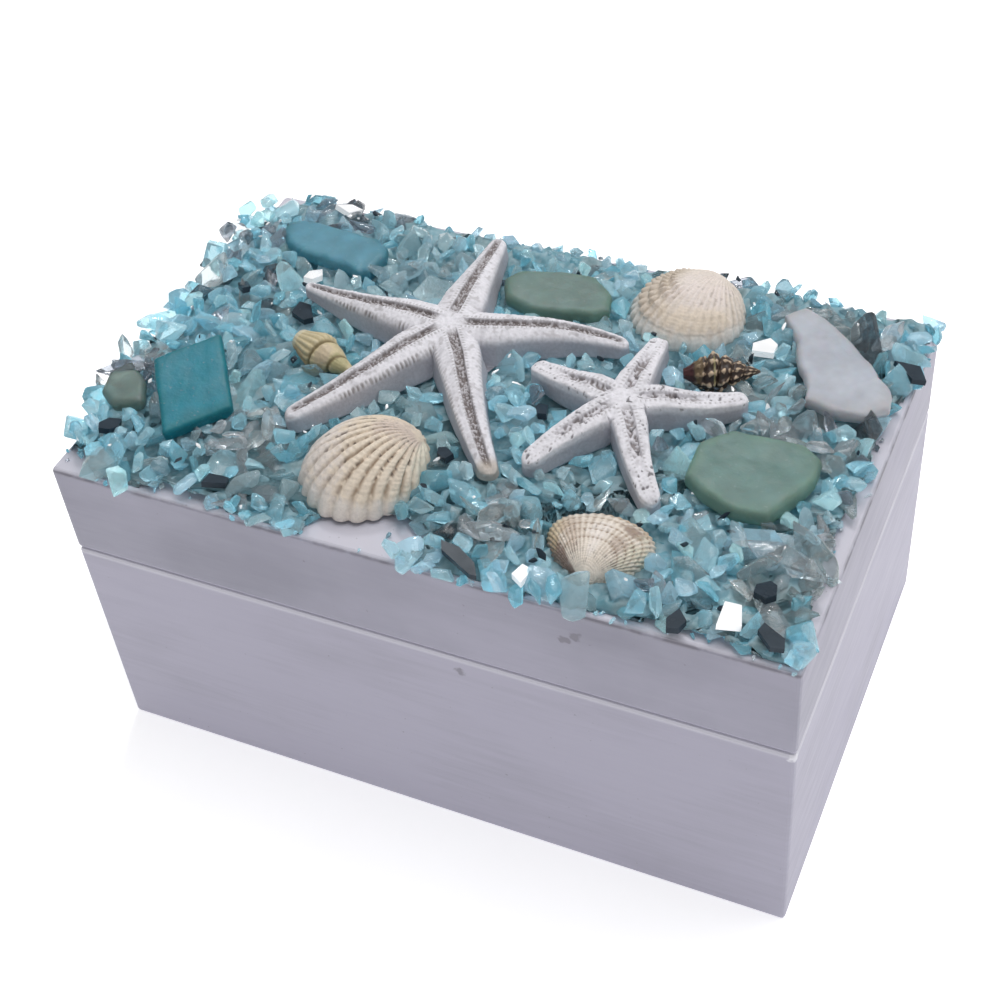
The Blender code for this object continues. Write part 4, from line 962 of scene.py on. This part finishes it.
def scatter(count, halfX, halfY, rng):  # places for chips or crumbs, flat on the lid
    spots = np.zeros((count, 3))
    for row in range(count):
        spots[row, 0] = rng.uniform(-halfX, halfX)
        spots[row, 1] = rng.uniform(-halfY, halfY)
    return spots


def pickKind(x, y, rng):
    for middleX, middleY, radius, kind, share in heap["clusters"]:
        if math.hypot(x - middleX, y - middleY) < radius and rng.random() < share:
            return kind
    roll = rng.random()
    return "aqua" if roll < 0.82 else "grey" if roll < 0.90 else "clear" if roll < 0.97 else "smoke"


def dropChips(tree, glassTree, rng):  # each chip comes to rest on the lid or on the chips below it
    spots = scatter(heap["tries"], 90.2, 57.6, rng)
    size = np.array([rng.random() for _ in range(len(spots))]) ** heap["sizeBias"]
    size = heap["smallest"] + (heap["largest"] - heap["smallest"]) * size
    limit = lidTop + heapDepth(spots)
    keep = ~isBare(spots, 0.4 * size)
    cellSize = 2 * heap["largest"]
    cells = {}
    chips = []
    for (x, y, _), radius, top in zip(spots[keep].tolist(), size[keep].tolist(), limit[keep].tolist()):
        column, row = int(x // cellSize), int(y // cellSize)
        z = lidTop + 0.46 * radius
        for i in (-1, 0, 1):
            for j in (-1, 0, 1):
                for otherX, otherY, otherZ, otherRadius in cells.get((column + i, row + j), ()):
                    gap = (heap["packing"] * (radius + otherRadius)) ** 2
                    gap -= (x - otherX) ** 2 + (y - otherY) ** 2
                    if gap > 0:
                        z = max(z, otherZ + math.sqrt(gap))
        if z + 0.34 * radius > top:
            continue
        spot = Vector((x, y, z))
        if inTheWay(spot, tree, 0.55 * radius) or inTheWay(spot, glassTree, 0.36 * radius):
            continue
        cells.setdefault((column, row), []).append((x, y, z, radius))
        chips.append((x, y, z, radius))
    return chips


def inTheWay(spot, tree, room):
    nearest, normal, _, away = tree.find_nearest(spot)
    return away < room or (away < 9 and (spot - nearest).dot(normal) < 0)


def dropCrumbs(tree, rng):
    crumbs = []
    spots = scatter(heap["crumbTries"], 89.5, 57, rng)
    bare = isBare(spots, 0).tolist()
    for (x, y, _), onBare in zip(spots.tolist(), bare):
        radius = rng.uniform(*heap["crumb"])
        if onBare and rng.random() < 0.93:
            continue
        spot = Vector((x, y, lidTop + 0.5 * radius))
        nearest, normal, _, away = tree.find_nearest(spot)
        if away > radius and (spot - nearest).dot(normal) > 0:
            crumbs.append((x, y, spot.z, radius))
    return crumbs


def heapMesh(name, chips, shapes, rng, kinds):
    points, faces, tints = [], [], []
    start = 0
    for x, y, z, radius in chips:
        kind = kinds[(x, y, z)]
        shape, sides = rng.choice(shapes)
        spin = Matrix.Rotation(rng.uniform(0, math.tau), 3, "Z") @ Matrix.Rotation(
            rng.uniform(0, math.tau), 3, "X") @ Matrix.Rotation(rng.uniform(0, math.tau), 3, "Z")
        longest = 1.35 if kind in ("aqua", "grey") else 2.4
        stretch = np.array((rng.uniform(0.95, longest), 1.0, rng.uniform(0.8, 1.05)))
        corners = (shape * stretch * radius) @ np.array(spin).T + (x, y, z)
        corners[:, 2] = np.maximum(corners[:, 2], lidTop + 0.04)
        least, most = np.array(heap["overhang"]) + ((-89, -56.5), (89, 56.5))
        corners[:, :2] -= np.maximum(corners[:, :2].max(0) - most, 0)
        corners[:, :2] += np.maximum(least - corners[:, :2].min(0), 0)
        points.append(corners)
        faces += [tuple(start + index for index in side) for side in sides]
        start += len(corners)
        colour = np.array(rng.choice(heap["kinds"][kind])) * rng.uniform(0.88, 1.10)
        tints.append(np.repeat(colour[None, :], len(corners), 0))
    mesh = newMesh(name, np.concatenate(points), faces, np.concatenate(tints).clip(0, 1))
    mesh.set_sharp_from_angle(angle=math.radians(heap["sharp"]))
    return mesh


def bedMesh():  # grit and glue under the chips, down to the lid at its edge
    step = heap["bedStep"]
    across = np.arange(-88.9, 88.9 + step / 2, step)
    deep = np.arange(-56.4, 56.4 + step / 2, step)
    gridX, gridY = np.meshgrid(across, deep)
    spots = np.stack([gridX.ravel(), gridY.ravel(), np.zeros(gridX.size)], 1)
    ragged = 0.8 * grain(spots, 3.1, 41)
    inset = np.minimum(88.6 - abs(spots[:, 0]), 56.1 - abs(spots[:, 1])) + ragged - 0.6
    bare = isBare(spots, 0.6)
    rise = between(inset, 0.0, 2.2) * ~bare
    lumps = 1.3 * (1 - abs(grain(spots, 4.0, 42))) ** 2 + 0.7 * grain(spots, 1.6, 43)
    lumps += 0.8 * grain(spots, 9.0, 46)
    spots[:, 2] = lidTop + 0.05 + rise * np.clip(heap["bed"] + lumps, 0.3, heap["bedTop"])
    columns = len(across)
    faces = []
    for face in gridFaces(len(deep), columns):
        if all(rise[index] > 0 for index in face):
            faces.append(face)
    used = sorted({index for face in faces for index in face})
    fresh = {index: place for place, index in enumerate(used)}
    faces = [tuple(fresh[index] for index in face) for face in faces]
    cloud = between(grain(spots, 7.0, 44), -0.5, 0.6)
    patch = between(grain(spots, 2.4, 45), -0.2, 0.3)
    first, second, third = heap["bedColours"]
    tint = blend(blend(first, second, cloud), third, 0.6 * patch)
    mesh = newMesh("gritBed", spots[used], faces, tint[used])
    closeUp(mesh, 1e-6)
    return mesh


def makeGlass(name, roughness, clarity, glow=0.0):
    material, tree, shader = newMaterial(name, roughness, Transmission_Weight=clarity, IOR=1.48,
                                         Emission_Strength=glow)
    tint = addNode(tree, "Attribute", attribute_name="tint").outputs["Color"]
    veil = spread(tree, noiseAt(tree, 700, 3.0), 0.45, 0.75)
    tint = tintMix(tree, combine(tree, veil, 0.30), tint, (0.80, 0.88, 0.92, 1))
    tree.links.new(tint, shader.inputs["Base Color"])
    # the glow makes the glass give off light of its own: painted light that brightens the chips
    if glow:
        tree.links.new(tint, shader.inputs["Emission Color"])
    tree.links.new(spread(tree, veil, 0.0, 1.0, roughness, roughness + 0.15), shader.inputs["Roughness"])
    bumpInto(tree, shader, noiseAt(tree, 1500, 2.0), 0.00008)
    return material


def buildHeap(ornaments, glass):
    rng = random.Random(heap["seed"])
    tree = treeOf(ornaments)
    glassTree = treeOf(glass)
    shapes = chipShapes(heap["chipShapes"], rng, heap["arris"])
    crumbShapes = chipShapes(heap["crumbShapes"], random.Random(heap["seed"] + 1), 0)
    chips = dropChips(tree, glassTree, rng)
    crumbs = dropCrumbs(treeOf(ornaments + glass), rng)
    print("heap:", len(chips), "chips and", len(crumbs), "crumbs")
    kinds = {chip[:3]: pickKind(chip[0], chip[1], rng) for chip in chips + crumbs}
    frosty = [chip for chip in chips if kinds[chip[:3]] in ("aqua", "grey")]
    clear = [chip for chip in chips if kinds[chip[:3]] in ("clear", "smoke")]
    # the frosty and clear glass glow a little: painted light
    frostyGlass = makeGlass("frostyGlass", 0.06, 0.75, 0.06)
    bedGlass = makeGlass("bedGlass", 0.42, 0.20)
    clearGlass = makeGlass("clearGlass", 0.04, 0.90, 0.02)
    half = len(frosty) // 2  # the chips dropped first lie lowest
    made = []
    for name, lumps, forms, finish in (("aquaChipsLower", frosty[:half], shapes, frostyGlass),
                                       ("aquaChipsUpper", frosty[half:], shapes, frostyGlass),
                                       ("clearChips", clear, shapes, clearGlass),
                                       ("glassCrumbs", crumbs, crumbShapes, frostyGlass)):
        mesh = heapMesh(name, lumps, forms, rng, kinds)
        made.append(addPiece(name, mesh, finish, "crushed_glass"))
    for name, count, sizes, finish in heap["flakes"]:
        flakes = [(x, y, z + 0.7 * radius, rng.uniform(*sizes))
                  for x, y, z, radius in rng.sample(chips, count)]
        kinds.update({flake[:3]: "clear" for flake in flakes})
        mesh = heapMesh(name, flakes, shapes, rng, kinds)
        made.append(addPiece(name, mesh, mirrorFinish[finish], "crushed_glass"))
    made.append(addPiece("gritBed", bedMesh(), bedGlass, "crushed_glass"))
    for piece in made:
        print(piece.name, len(piece.data.polygons), "faces")


shardNodes = [node for name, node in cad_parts.items() if name.startswith("mirror_shard_")]
buildHeap([largeStarPiece, smallStarPiece] + shardNodes + shellPieces, seaGlassPieces)
